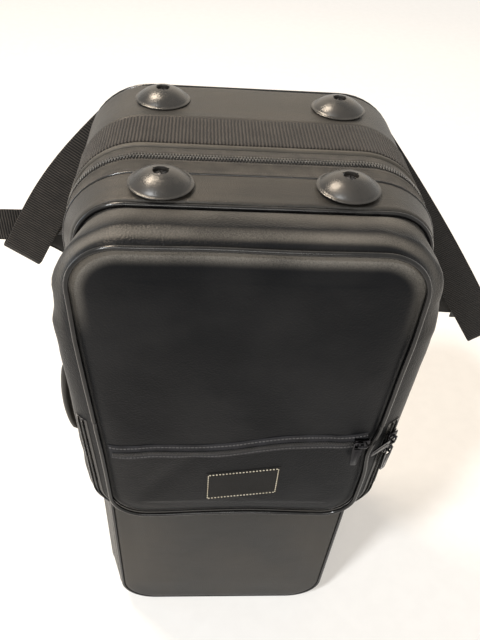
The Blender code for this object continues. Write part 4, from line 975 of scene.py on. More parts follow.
@dataclass(frozen=True)
class PocketOutline:
    """The pocket's outline in front of the lid, with its soft panel and dents."""

    depth: float = 0.045
    base_half_foot: float = 0.1330
    base_half_neck: float = 0.1285
    face_half_foot: float = 0.1305
    face_half_neck: float = 0.1161
    bulge_x: float = 0.0245
    bulge_fall: float = 0.20
    bend_z: float = 0.545
    bulge_top: float = 0.0080
    bulge_bottom: float = 0.0035
    lean_neck: float = 0.0006
    lean_foot: float = 0.0068
    base_top: float = 0.6325
    base_bottom: float = 0.2935
    face_top: float = 0.6278
    face_bottom: float = 0.2970
    radius_foot: float = 0.034
    radius_neck: float = 0.030
    edge_depth: float = 0.0030
    fold_z: float = 0.445
    zip_depth: float = 0.034
    origin_depth: float = 0.115
    corner_steps: int = 14
    side_steps: int = 24

    def y(self, depth: float) -> float:
        """Return the Y coordinate of a depth in front of the lid."""
        return -depth - self.origin_depth

    def ring(self, depth: float, inset: float = 0.0, ends: Optional[Point2] = None, sagged: bool = True) -> Ring:
        """Return the outline at a depth in front of the lid, drawn in by an inset."""
        share = depth / self.depth
        bulge = math.sin(math.pi * min(1.0, max(0.0, share)))

        def half_at(z: float) -> float:
            """Return half of the pocket's width at a height."""
            rise = (z - self.base_bottom) / (self.base_top - self.base_bottom)
            base = self.base_half_neck + (self.base_half_foot - self.base_half_neck) * rise
            face = self.face_half_neck + (self.face_half_foot - self.face_half_neck) * rise
            swell = self.bulge_x - self.bulge_fall * max(0.0, z - self.bend_z)
            return base + (face - base) * share + swell * bulge - inset

        low = self.base_bottom + (self.face_bottom - self.base_bottom) * share - self.bulge_bottom * bulge
        high = self.base_top + (self.face_top - self.base_top) * share + self.bulge_top * bulge ** 0.32
        points = rounded_outline(
            half_at, low + inset, high - inset, self.radius_neck + self.bulge_x * bulge / 2 - inset,
            self.radius_foot + self.bulge_x * bulge * 1.25 - inset, ends, self.corner_steps, self.side_steps,
            self.bend_z,
        )
        ring = [Vector((x + self.lean(depth, z), self.y(depth), z)) for x, z in points]
        return [self.sag(p) for p in ring] if sagged else ring

    def lean(self, depth: float, z: float) -> float:
        """Return how far the pocket leans to the left at a depth and a height."""
        rise = (z - self.base_bottom) / (self.base_top - self.base_bottom)
        return -(self.lean_neck + (self.lean_foot - self.lean_neck) * rise) * depth / self.depth

    def half(self, depth: float, z: float) -> float:
        """Return the X coordinate of the pocket's right side at a depth and a height."""
        return self.ring(depth, 0.0, (z, z), sagged=False)[0].x

    def sag(self, point: Vector) -> Vector:
        """Return a point moved by the dents that the soft pocket has near its front edge."""
        front = step(0.036, 0.044, -point.y - self.origin_depth)
        near_side = step(0.095, 0.120, abs(point.x))
        moved = point.copy()
        if point.x > 0:
            moved.x -= 0.0045 * front * near_side * bell(point.z, 0.403, 0.022)
        wave = ripple(point.x * 9.0, 4.0, point.z * 11.0)
        moved.x += 0.0014 * front * near_side * wave * (1 if point.x > 0 else -1)
        low = 1.0 - step(0.300, 0.330, point.z)
        moved.z += front * low * (0.0045 * bell(point.x, 0.018, 0.045)
                                  - 0.0020 * bell(point.x, -0.085, 0.035))
        near_end = step(0.10, 0.14, abs(point.z - 0.463))
        moved.z += 0.0010 * front * near_end * ripple(point.x * 14.0, 9.0, 2.0)
        return moved

    def panel_depth(self, x: float, z: float, inset: float) -> float:
        """Return the front panel's depth at a place, with its rolled edge and soft dents."""
        edge = self.depth - self.edge_depth - 0.0012
        roll = (self.edge_depth + 0.0046) * (1.0 - math.exp(-inset / 0.0105))
        inner = step(0.010, 0.045, inset)
        dents = ripple(x * 8.0, 1.7, z * 9.0) * 0.0024
        dents += ripple(x * 19.0, 5.3, z * 17.0) * 0.0009
        above = step(0.425, 0.470, z)
        hollow = -0.0016 * math.exp(-((x + 0.055) / 0.030) ** 2 - ((z - 0.500) / 0.035) ** 2)
        hollow -= 0.0014 * math.exp(-((x - 0.045) / 0.040) ** 2 - ((z - 0.545) / 0.030) ** 2)
        pull = -0.0012 * math.exp(-(((x + 0.075) - (z - 0.360) * 0.8) / 0.012) ** 2) * (1.0 - step(0.395, 0.41, z))
        return edge + roll + inner * (dents * (0.35 + 0.65 * above) + hollow + pull)


CASE = CaseOutline()
POCKET = PocketOutline()


# Shell halves


@dataclass
class ShellHalves:
    """The covers, bands, tapes and piping of the back half and the lid."""

    lid_tape_start: float = 0.044
    lid_tape_end: float = 0.064
    back_tape_start: float = 0.072
    binding_start: float = 0.084
    webbing_start: float = 0.091
    webbing_end: float = 0.139
    cover: float = 0.0017
    gap: float = 0.0003
    piping: float = 0.0020

    def build(self) -> None:
        """Build and dress every cover and band of both halves."""
        self.back_covers()
        self.lid_covers()
        self.bands()
        self.tapes()
        self.hinge_strip()

    def band(self, name: str, profile: Sequence[Point2], inner: float, ends: Optional[Point2] = None,
             waves: float = 0.0) -> Object:
        """Model a closed band round the wall.

        Args:
            name: the piece's name.
            profile: (depth, stand above the wall) points, front to back.
            inner: how far the band's inside lies below the wall.
            ends: heights where an open band stops.
            waves: how far the cover wavers off the wall.

        Returns:
            The band.
        """
        front, back = profile[0][0], profile[-1][0]
        section = list(profile) + [(back, -inner), (front, -inner)]
        rings = [CASE.ring(depth, -stand, ends) for depth, stand in section]
        if waves:
            for ring, (depth, stand) in zip(rings, section):
                if stand > -inner:
                    for k, point in enumerate(ring):
                        outward = Vector((point.x, 0.0, point.z - CASE.height / 2)).normalized()
                        value = ripple(point.x * 16.0, depth * 30.0, point.z * 16.0)
                        if point.z > 0.03:
                            ring[k] = point + outward * (value * waves)
        widths = [depth for depth, _ in section] + [front]
        return Bench.loft(name, rings, closed=ends is None, section=True, fill=ends is not None, widths=widths)

    def back_covers(self) -> None:
        """Build the back half's wall cover, panel cover and piping."""
        edge = 2 * self.piping + self.gap
        start, end = self.webbing_end + self.gap / 2, CASE.depth - edge
        span = end - start
        profile = [(start, -0.0008), (start + 0.001, 0.0)]
        profile += [(start + span * k / 12, 0.0) for k in range(1, 12)]
        profile += [(end - 0.003, 0.0), (end, -0.0008)]
        wall = self.band("back_wall_skin", profile, self.cover, waves=0.0006)
        dress(wall, Finish.LEATHERETTE, "case_back", "back_wall_cover", angle=50.0)
        route = CASE.ring(CASE.depth - self.piping, self.piping)
        cord = Bench.tube("back_edge_piping", route, self.piping, closed=True, sides=10)
        dress(cord, Finish.PIPING, "case_back", "back_piping", angle=80.0)
        rings = [CASE.ring(CASE.depth - self.cover, edge), CASE.ring(CASE.depth - 0.0008, edge),
                 CASE.ring(CASE.depth, edge + 0.001)]
        rings += [CASE.ring(CASE.depth, edge + inset) for inset in (0.004, 0.009, 0.016, 0.024)]
        rings += self.shrunk(rings[-1], 18, self.back_panel_place)
        panel = Bench.loft("back_panel_skin", rings, pole=True, fill=True)
        dress(panel, Finish.LEATHERETTE, "case_back", "back_panel_cover", angle=50.0)

    @staticmethod
    def shrunk(ring: Ring, steps: int, place: Callable[[Vector], Vector]) -> list[Ring]:
        """Return rings that shrink from one ring to its middle."""
        middle = Vector((0.0, ring[0].y, sum(p.z for p in ring) / len(ring)))
        return [[place(p.lerp(middle, k / steps)) for p in ring] for k in range(1, steps + 1)]

    def back_panel_place(self, point: Vector) -> Vector:
        """Return a place on the back panel, which is a little uneven and never proud of the flat."""
        wave = ripple(point.x * 9.0, 3.1, point.z * 9.0)
        return Vector((point.x, point.y - 0.0003 + min(0.0, wave * 0.0006), point.z))

    def lid_covers(self) -> None:
        """Build the lid's wall cover, front cover, edge piping and seam edge."""
        edge = 2 * self.piping + self.gap
        seam = self.lid_tape_start - 0.0020
        roll = [(edge + self.gap, -0.0010), (edge + 0.001, 0.0), (edge + 0.003, 0.0004), (edge + 0.006, 0.0)]
        start = edge + 0.006
        profile = roll + [(start + (seam - 0.002 - start) * k / 8, 0.0) for k in range(1, 9)]
        profile += [(seam - 0.0006, -0.0002), (seam - 0.0002, -0.0009)]
        wall = self.band("lid_wall_skin", profile, self.cover, waves=0.0007)
        dress(wall, Finish.LEATHERETTE, "lid", "lid_wall_cover", angle=50.0)
        cord = Bench.tube("lid_edge_piping", CASE.ring(self.piping, self.piping), self.piping, closed=True, sides=10)
        dress(cord, Finish.PIPING, "lid", "lid_piping", angle=80.0)
        lip = [(seam, -0.0004), (seam + 0.0004, 0.0004), (seam + 0.0010, 0.0006), (seam + 0.0016, 0.0003),
               (self.lid_tape_start - 0.0002, -0.0005)]
        dress(self.band("lid_seam_lip", lip, self.cover), Finish.PIPING, "lid", "lid_seam_edge", angle=80.0)
        rings = [CASE.ring(self.cover, edge), CASE.ring(0.0009, edge), CASE.ring(0.0001, edge + 0.0012)]
        rings += [CASE.ring(0.0, edge + inset) for inset in (0.004, 0.008, 0.014, 0.022)]
        rings += self.shrunk(rings[-1], 18, self.lid_front_place)
        front = Bench.loft("lid_front_skin", rings, pole=True, fill=True)
        dress(front, Finish.LEATHERETTE, "lid", "lid_front_cover", angle=50.0)

    @staticmethod
    def lid_front_place(point: Vector) -> Vector:
        """Return a place on the lid's front, slightly uneven below the pocket."""
        wave = ripple(point.x * 8.0, 7.7, point.z * 8.0)
        below = 1.0 - step(0.275, 0.295, point.z)
        return Vector((point.x, point.y + 0.0004 + wave * 0.0004 - 0.0012 * below, point.z))

    def bands(self) -> None:
        """Build the webbing band and the binding in front of it."""
        start, end = self.webbing_start + self.gap / 2, self.webbing_end - self.gap / 2
        stand = 0.0008
        profile = [(start, 0.0), (start + 0.0004, stand - 0.0001), (start + 0.0012, stand + 0.0002)]
        profile += [(start + (end - start) * k / 6, stand) for k in range(1, 6)]
        profile += [(end - 0.0012, stand + 0.0002), (end - 0.0004, stand - 0.0001), (end, 0.0)]
        dress(self.band("webbing_weave", profile, self.cover), Finish.WEBBING, "case_back", "webbing_band", angle=60.0)
        start, end = self.binding_start + self.gap / 2, self.webbing_start - self.gap / 2
        fold = [(start, -0.0006), (start + 0.0006, 0.0006), (start + 0.0020, 0.0010), (start + 0.0036, 0.0009),
                (end - 0.0016, 0.0005), (end - 0.0004, 0.0003), (end, -0.0004)]
        dress(self.band("binding_fold", fold, self.cover), Finish.BINDING, "case_back", "back_binding", angle=60.0)

    def tapes(self) -> None:
        """Build the zip tapes on both halves."""
        stand = -0.0007
        for name, start, end, body, node, turn in (
            ("lid_tape_weave", self.lid_tape_start, self.lid_tape_end, "lid", "lid_zip_tape", -1),
            ("back_tape_weave", self.back_tape_start, self.binding_start, "case_back", "back_zip_tape", 1),
        ):
            first, last = start + self.gap / 2, end - self.gap / 2
            if turn < 0:
                profile = [(first, stand), (first + 0.004, stand + 0.0002), (last - 0.0045, stand + 0.0005),
                           (last - 0.0035, stand + 0.0009), (last - 0.001, stand + 0.0008), (last, stand + 0.0003)]
            else:
                profile = [(first, stand + 0.0003), (first + 0.001, stand + 0.0008), (first + 0.0035, stand + 0.0009),
                           (first + 0.0045, stand + 0.0004), (last - 0.002, stand + 0.0002), (last, stand)]
            tape = self.band(name, profile, self.cover, CASE.zip_ends)
            dress(tape, Finish.TAPE, body, node, angle=60.0)

    def hinge_strip(self) -> None:
        """Build the strip of covering that bends over the hinge on the right wall."""
        low, high = CASE.zip_ends[1] + self.gap, CASE.zip_ends[0] - self.gap
        start, end = self.lid_tape_start + self.gap, self.binding_start - self.gap
        rings = []
        for k in range(17):
            depth = start + (end - start) * k / 16
            seams = 0.0004 * (bell(k, 2, 0.8) + bell(k, 14, 0.8))
            stand = 0.0003 + 0.0006 * math.sin(math.pi * k / 16) - seams
            rings.append([CASE.wall_place(low + (high - low) * i / 60, depth, 1, stand) for i in range(61)])
        strip = Bench.sheet("hinge_cover", rings, 0.0014)
        middle = CASE.y(CASE.parting)
        dress(strip, Finish.LEATHERETTE, "lid", "hinge_strip", angle=60.0,
              bend=("case_back", (0.0, middle - 0.012, 0.0), (0.0, middle + 0.012, 0.0)))


# Main zip


@dataclass
class MainZip:
    """The two rows of teeth of the main zip."""

    pitch: float = 0.00250
    reach: float = 0.0038
    stand: float = 0.0004

    def tooth(self, name: str) -> Object:
        """Model one coil tooth: a rounded loop end that reaches over the parting line."""
        return Bench.box(name, (-0.0011, -self.reach, -0.00060), (0.0006, 0.0004, 0.00060), 0.00028, 2)

    def build(self) -> None:
        """Build both rows."""
        for name, side, body, node in (("lid_zip_teeth", -1, "lid", "lid_zip_coil"),
                                       ("back_zip_teeth", 1, "case_back", "back_zip_coil")):
            ring = Line(CASE.ring(CASE.parting, -self.stand, CASE.zip_ends))
            frames = []
            shift = self.pitch / 4 * side
            for point, along in ring.stations(self.pitch, 0.002, ring.length - 0.002):
                x = off_middle(point, along, CASE.height / 2)
                y = along.cross(x).normalized()
                turn = Matrix((x, y * (1 if y.y * side < 0 else -1), along)).transposed().to_4x4()
                turn.translation = point + along * shift
                frames.append(turn)
            row = Bench.copies(name, self.tooth("coil_tooth"), frames)
            # The core's near-black finish is painted shade between the teeth.
            dress(self.core(f"{name}_core", side), Finish.CORE, body, angle=60.0)
            with Bench.editing(row):
                bpy.ops.mesh.normals_make_consistent(inside=False)
            dress(row, Finish.COIL, body, node, angle=60.0)

    def core(self, name: str, side: int) -> Object:
        """Model the cord that the teeth are sewn round."""
        near = CASE.parting + side * CASE.gap
        far = CASE.parting + side * self.reach
        profile = [(near, -0.0012), (near, -0.0007), (near + side * 0.0010, -0.0004), (far - side * 0.0012, -0.0005),
                   (far, -0.0008), (far, -0.0012)]
        rings = [CASE.ring(depth, -stand, CASE.zip_ends) for depth, stand in profile]
        return Bench.loft(name, rings, closed=False, section=True, fill=True)


# Feet


@dataclass
class Feet:
    """Four domed feet, each with a recessed screw in its crown."""

    radius: float = 0.025
    height: float = 0.0115
    flange: float = 0.0016
    recess: float = 0.0058
    recess_depth: float = 0.0048
    lid_left: Point2 = (-0.0732, 0.0254)
    lid_right: Point2 = (0.0697, 0.0290)
    back_left: Point2 = (-0.0792, 0.1765)
    back_right: Point2 = (0.0835, 0.1722)
    lid_seat: float = 0.6409
    back_seat: float = 0.6403

    def crown(self, reach: float) -> float:
        """Return the dome's height at a distance from its axis: a cap of a sphere over the flange."""
        base, rise = self.radius - self.flange, self.height - self.flange
        ball = (base ** 2 + rise ** 2) / (2 * rise)
        return self.height - ball + math.sqrt(ball ** 2 - reach ** 2)

    def profile(self) -> list[Point2]:
        """Return the dome's profile, from the recess floor over the crown to the underside."""
        floor = self.height - self.recess_depth
        rim = self.crown(self.recess)
        points = [(0.0, floor), (self.recess - 0.0005, floor), (self.recess, floor + 0.0005),
                  (self.recess, rim - 0.0006), (self.recess + 0.0003, rim - 0.0001)]
        base = self.radius - self.flange
        for k in range(1, 17):
            reach = self.recess + 0.0008 + (base - self.recess - 0.0008) * k / 16
            points.append((reach, self.crown(reach)))
        top = self.flange
        points += [(base + 0.0003, top - 0.0001), (self.radius - 0.0006, top - 0.0002),
                   (self.radius, top - 0.0007), (self.radius - 0.0001, 0.0002), (self.radius - 0.0006, 0.0)]
        points += [(0.0, 0.0)]
        return points

    def build(self) -> None:
        """Build the feet and their screws."""
        for half, side, (x, depth), seat, body in (
            ("lid", "left", self.lid_left, self.lid_seat, "lid"),
            ("lid", "right", self.lid_right, self.lid_seat, "lid"),
            ("back", "left", self.back_left, self.back_seat, "case_back"),
            ("back", "right", self.back_right, self.back_seat, "case_back"),
        ):
            place = Matrix.Translation((x, CASE.y(depth), seat))
            foot = Bench.moved(self.dome(f"dome_foot_{half}_{side}"), place)
            dress(foot, Finish.RUBBER, body, f"foot_{half}_{side}", angle=35.0)
            turn = Matrix.Rotation(0.7 + x * 7.0 + depth * 9.0, 4, "Z")
            screw = Bench.moved(self.screw(f"cross_screw_{half}_{side}"), place @ turn)
            dress(screw, Finish.SCREW, body, f"foot_screw_{half}_{side}", angle=30.0)

    def dome(self, name: str) -> Object:
        """Model one dome with three small notches in the rim of its recess."""
        dome = Bench.turned(name, self.profile(), 60)
        notch = Bench.box("notch_tool", (self.recess - 0.0016, -0.0007, self.height - 0.0020),
                          (self.recess + 0.0012, 0.0007, self.height + 0.002), 0.0003, 1)
        tool = Bench.copies("notch_tools", notch, [Matrix.Rotation(math.tau * k / 3 + 0.5, 4, "Z") for k in range(3)])
        return Bench.cut(dome, tool)

    def screw(self, name: str) -> Object:
        """Model one cross-slotted screw on the floor of the recess, with its shank."""
        floor = self.height - self.recess_depth + 0.0003
        head = [(0.0, floor + 0.0024), (0.0022, floor + 0.0022), (0.0038, floor + 0.0015), (0.0047, floor + 0.0006),
                (0.0048, floor), (0.0020, floor), (0.0020, -0.0088), (0.0008, -0.0100), (0.0, -0.0104)]
        screw = Bench.turned(name, head, 24)
        for long, wide in ((0.0026, 0.00045), (0.00045, 0.0026)):
            slot = Bench.box("slot_tool", (-long, -wide, floor + 0.0010), (long, wide, floor + 0.0030))
            Bench.cut(screw, slot)
        return screw


# Pocket


@dataclass
class SoftPocket:
    """The soft pocket: gusset and front panel, the flap below the fold, piping, zips and label."""

    wall: float = 0.0020
    gap: float = 0.0003
    piping: float = 0.0020
    chain: float = 0.0076
    chain_height: float = 0.0016
    tooth_pitch: float = 0.0015
    front_zip_half: float = 0.11755
    front_zip_x: float = -0.0030
    front_zip_z: float = 0.4145
    front_zip_tilt: float = 5.5
    front_tape: float = 0.020
    label_size: Point2 = (0.070, 0.043)
    label_place: Point2 = (0.0039, 0.3585)
    label_slant: float = 0.18
    stitch_inset: float = 0.002
    stitch_pitch: float = 0.0032
    cord_depth: float = 0.0452
    middle_z: float = 0.46
    gusset_steps: int = 18
    panel_steps: int = 27
    panel_insets: tuple[float, ...] = (0.0016, 0.0026, 0.0038, 0.0052, 0.0070, 0.0092, 0.0120, 0.0155, 0.0195, 0.0240,
                                       0.0275)

    def build(self) -> None:
        """Build the pocket's pieces."""
        self.skins()
        self.pipings()
        self.gusset_zip()
        self.front_zip()
        self.label()

    def gusset_ring(self, share: float) -> Ring:
        """Return one ring of the gusset, from 0 at the lid to 1 at the shoulder, with its puckers."""
        shoulder = POCKET.depth - POCKET.edge_depth
        depth = self.gap + (shoulder - self.gap) * share
        tuck = 0.0010 * (1.0 - step(0.0, 0.12, share)) + 0.0012 * step(0.90, 1.0, share)
        ring = POCKET.ring(depth, tuck)
        swell = math.sin(math.pi * step(0.12, 0.95, share))
        shaped = []
        for point in ring:
            outward = Vector((point.x / 0.135, 0.0, (point.z - 0.463) / 0.168))
            corner = step(0.80, 1.30, abs(outward.x) + abs(outward.z) - 0.35)
            angle = math.atan2(outward.z, outward.x)
            fold = math.sin(angle * 34.0 + share * 7.0 * (1 if point.x > 0 else -1))
            wave = ripple(point.x * 13.0, share * 2.2, point.z * 13.0)
            small = ripple(point.x * 34.0, share * 5.0, point.z * 34.0)
            off = 0.0009 * wave + 0.0003 * small + 0.0005 * corner * fold
            ridge = math.exp(-((share - 0.62 - 0.08 * wave) / 0.10) ** 2)
            ridge -= 0.5 * bell(share, 0.86, 0.07)
            lift = 0.0012 * ridge * step(0.55, 0.8, outward.z)
            shaped.append(point + outward.normalized() * (swell * off + lift))
        return shaped

    def panel_rings(self) -> list[Ring]:
        """Return the rings of the front panel, from its rolled edge to its middle."""
        shoulder = POCKET.depth - POCKET.edge_depth
        rings = []
        for inset in self.panel_insets:
            ring = POCKET.ring(shoulder, inset)
            rings.append([Vector((p.x, POCKET.y(POCKET.panel_depth(p.x, p.z, inset - 0.0014)), p.z)) for p in ring])
        last = rings[-1]
        middle_low, middle_high = 0.330, 0.596
        flat = self.panel_insets[-1]
        for k in range(1, self.panel_steps):
            share = k / self.panel_steps
            ring = []
            for p in last:
                centre_z = middle_low + (middle_high - middle_low) * step(0.30, 0.63, p.z)
                centre = Vector((POCKET.lean(POCKET.depth, centre_z), p.y, centre_z))
                q = p.lerp(centre, share)
                inset = flat + (p - q).length
                ring.append(Vector((q.x, POCKET.y(POCKET.panel_depth(q.x, q.z, inset)), q.z)))
            rings.append(ring)
        return rings

    def skins(self) -> None:
        """Build the pocket's skin as one piece, cut it along the fold and the zip, and thicken both parts."""
        steps = self.gusset_steps
        rings = [self.gusset_ring(k / steps) for k in range(steps + 1)] + self.panel_rings()
        insets = self.panel_insets + tuple(self.panel_insets[-1] + 0.004 * k for k in range(1, self.panel_steps))
        shoulder = POCKET.depth - POCKET.edge_depth
        widths = [shoulder * k / steps for k in range(steps + 1)] + [0.050 + inset for inset in insets]
        skin = Bench.loft("pocket_skin", rings, widths=widths)
        with Bench.editing(skin):
            bpy.ops.mesh.select_all(action="DESELECT")
            work = bmesh.from_edit_mesh(skin.data)
            for edge in work.edges:
                if edge.is_boundary and edge.verts[0].co.y < POCKET.y(0.02):
                    edge.select_set(True)
            bmesh.update_edit_mesh(skin.data)
            bpy.ops.mesh.edge_face_add()
            bpy.ops.mesh.inset(thickness=0.001, depth=0.0)
            for place, normal in (((0.0, 0.0, POCKET.fold_z), (0.0, 0.0, 1.0)),
                                  ((0.0, POCKET.y(POCKET.zip_depth), 0.0), (0.0, 1.0, 0.0))):
                bpy.ops.mesh.select_all(action="SELECT")
                bpy.ops.mesh.bisect(plane_co=place, plane_no=normal)
            bpy.ops.mesh.select_all(action="DESELECT")
            work = bmesh.from_edit_mesh(skin.data)
            for face in work.faces:
                centre = face.calc_center_median()
                face.select_set(centre.z < POCKET.fold_z - 1e-5 and centre.y < POCKET.y(POCKET.zip_depth) - 1e-5)
            bmesh.update_edit_mesh(skin.data)
            bpy.ops.mesh.separate(type="SELECTED")
        flap = next(o for o in bpy.context.selected_objects if o is not skin)
        flap.name = flap.data.name = "pocket_flap_skin"
        for piece in (skin, flap):
            Bench.modify(piece, "SOLIDIFY", thickness=self.wall, offset=-1.0)
        dress(skin, Finish.POCKET, "lid", "pocket_body", angle=75.0)
        dress(flap, Finish.POCKET, "lid", "pocket_flap", angle=75.0,
              bend=("pocket_flap_body", (0.0, 0.0, POCKET.fold_z - 0.0005), (0.0, 0.0, POCKET.fold_z - 0.0080)))

    def front_line(self, depth: float, inset: float) -> Ring:
        """Return a line round the front edge."""
        return [Vector((p.x, POCKET.y(depth), p.z)) for p in POCKET.ring(POCKET.depth - POCKET.edge_depth, inset)]

    def pipings(self) -> None:
        """Build the piping round the front panel, above and below the fold."""
        route = self.front_line(self.cord_depth, 0.0008)
        above = [p for p in self.opened(route) if p.z > POCKET.fold_z]
        below = [p for p in self.opened(route, low=True) if p.z < POCKET.fold_z]
        for name, points, body, node, height in (
            ("pocket_cord_upper", above, "lid", "pocket_piping_upper", POCKET.fold_z + 0.0002),
            ("pocket_cord_flap", below, "pocket_flap_body", "pocket_piping_flap", POCKET.fold_z - 0.0002),
        ):
            first, last = points[0].copy(), points[-1].copy()
            first.z = last.z = height
            cord = Bench.tube(name, [first] + points + [last], self.piping, sides=10)
            dress(cord, Finish.PIPING, body, node, angle=80.0)

    @staticmethod
    def opened(route: Ring, low: bool = False) -> Ring:
        """Return a closed route turned so that it starts on one side at the fold's height."""
        count = len(route)
        for i in range(count):
            here, there = route[i], route[(i + 1) % count]
            crosses = (here.z - POCKET.fold_z) * (there.z - POCKET.fold_z) <= 0 and here.z != there.z
            if crosses and (there.z > here.z) != low:
                return [route[(i + 1 + k) % count] for k in range(count)]
        return route

    def zip_line(self, depth: float, stand: float) -> Ring:
        """Return the gusset zip's line: down the left side, round the bottom and up the right."""
        ring = POCKET.ring(depth, -stand, sagged=False)
        return [p for p in self.opened(ring, low=True) if p.z < POCKET.fold_z - self.gap]

    def gusset_zip(self) -> None:
        """Build both halves of the gusset zip with tape and teeth."""
        for name, sign, body, node in (("gusset_teeth_upper", -1, "lid", "pocket_zip_coil"),
                                       ("gusset_teeth_flap", 1, "pocket_flap_body", "flap_zip_coil")):
            low, high = 2 * self.gap, 2 * self.gap + self.chain_height
            near = POCKET.zip_depth + sign * self.gap
            far = POCKET.zip_depth + sign * self.chain / 2
            depths = [(near, low), (near, low + 0.0006), (far - sign * 0.0008, low + 0.0006), (far, low + 0.0002),
                      (far, low)]
            rings = [self.zip_line(depth, stand) for depth, stand in depths]
            count = min(len(ring) for ring in rings)
            tape = Bench.loft(f"{name}_tape", [ring[:count] for ring in rings], closed=False, section=True, fill=True)
            line = Line(self.zip_line(POCKET.zip_depth + sign * 0.0014, high - 0.0004))
            frames = []
            for point, along in line.stations(self.tooth_pitch, 0.002, line.length - 0.002):
                normal = off_middle(point, along, self.middle_z)
                frames.append(frame_of(point + along * (self.tooth_pitch / 4 * sign), normal, along))
            tooth = Bench.box("gusset_tooth", (-0.0008, -0.0016, -0.00038), (0.0003, 0.0016, 0.00038), 0.0002, 2)
            row = Bench.joined(name, [Bench.copies(name, tooth, frames), tape])
            dress(row, Finish.POCKET_COIL, body, node, angle=60.0)

    def panel_point(self, along: float, across: float, lift: float) -> Vector:
        """Return a point on the front zip's line: along it, across it, and lifted off the panel."""
        turn = math.radians(self.front_zip_tilt)
        x = self.front_zip_x + along * math.cos(turn) - across * math.sin(turn)
        z = self.front_zip_z + along * math.sin(turn) + across * math.cos(turn) + self.droop(along)
        shoulder = POCKET.depth - POCKET.edge_depth
        lean = POCKET.lean(shoulder, z)
        inset = max(0.0, POCKET.half(shoulder, z) - lean - 0.0014 - abs(x - lean))
        return Vector((x, POCKET.y(POCKET.panel_depth(x, z, inset) + lift), z))

    def droop(self, along: float) -> float:
        """Return how far the soft front zip wavers off its line, with none where the slider stops."""
        settle = step(-0.094, -0.068, along) * (1.0 - step(0.080, 0.100, along))
        return settle * (0.0033 * math.cos((along + 0.118) / 0.175 * math.tau) + 0.0004)

    def front_zip(self) -> None:
        """Build the front zip's tape with wavering edges, and its teeth."""
        half, width = self.front_zip_half, self.front_tape
        rows = []
        for k in range(11):
            share = k / 10
            line = []
            for i in range(97):
                along = -half + 2 * half * i / 96
                waver = ripple(along * 22.0, 3.0 + share * 0.5, 0.0) * 0.0012
                lift = 0.0004 + 0.0011 * math.sin(math.pi * share) ** 0.7
                lift += 0.0005 * ripple(along * 40.0, share * 3.0, 8.0)
                line.append(self.panel_point(along, (share - 0.5) * width + waver, lift))
            rows.append(line)
        tape = Bench.sheet("front_tape_weave", rows, 0.0010, [width * k / 10 for k in range(11)])
        dress(tape, Finish.PANEL_TAPE, "pocket_flap_body", "front_zip_tape", angle=60.0)
        frames = []
        turn = math.radians(self.front_zip_tilt)
        travel = Vector((math.cos(turn), 0.0, math.sin(turn)))
        count = round(2 * half / self.tooth_pitch) - 2
        for i in range(count):
            along = -half + 0.003 + i * self.tooth_pitch
            for side in (-1, 1):
                waver = ripple(along * 22.0, 3.25, 0.0) * 0.0012
                place = self.panel_point(along + self.tooth_pitch / 4 * side, waver + side * 0.0011, 0.0021)
                frames.append(frame_of(place, Vector((0, -1, 0)), travel))
        tooth = Bench.box("front_tooth", (-0.0009, -0.0013, -0.00036), (0.0005, 0.0013, 0.00036), 0.0002, 2)
        row = Bench.copies("front_zip_teeth", tooth, frames)
        dress(row, Finish.FRONT_COIL, "pocket_flap_body", "front_zip_coil", angle=60.0)

    def label_point(self, u: float, v: float, lift: float) -> Vector:
        """Return a point of the label's plane, which follows the panel."""
        x = self.label_place[0] + u
        z = self.label_place[1] + v + u * self.label_slant
        return Vector((x, POCKET.y(POCKET.panel_depth(x, z, 0.05) + lift), z))

    def label(self) -> None:
        """Build the bare label and the stitches round it."""
        width, height = self.label_size
        rows = []
        for k in range(21):
            v = -height / 2 + height * k / 20
            line = []
            for i in range(33):
                u = -width / 2 + width * i / 32
                rim = min(1.0, min(k, 20 - k, i, 32 - i) / 2)
                line.append(self.label_point(u, v, 0.0004 + 0.0009 * rim))
            rows.append(line)
        patch = Bench.sheet("label_cloth", rows, 0.0008)
        dress(patch, Finish.LABEL, "pocket_flap_body", "label_patch", angle=60.0)
        x, z = width / 2 - self.stitch_inset, height / 2 - self.stitch_inset
        corners = [(-x, -z), (x, -z), (x, z), (-x, z)]
        frames = []
        for (u0, v0), (u1, v1) in zip(corners, corners[1:] + corners[:1]):
            count = round(math.hypot(u1 - u0, v1 - v0) / self.stitch_pitch)
            for i in range(count):
                share = (i + 0.5) / count
                here, ahead = (self.label_point(u0 + (u1 - u0) * s, v0 + (v1 - v0) * s, 0.0014)
                               for s in (share, share + 0.01))
                frames.append(frame_of(here, Vector((0, -1, 0)), ahead - here))
        stitch = Bench.box("stitch", (-0.0004, -0.00046, -0.00080), (0.0005, 0.00046, 0.00080), 0.00025, 2)
        dress(Bench.copies("label_stitches", stitch, frames), Finish.THREAD, "pocket_flap_body", angle=60.0)


# Zip sliders and pulls


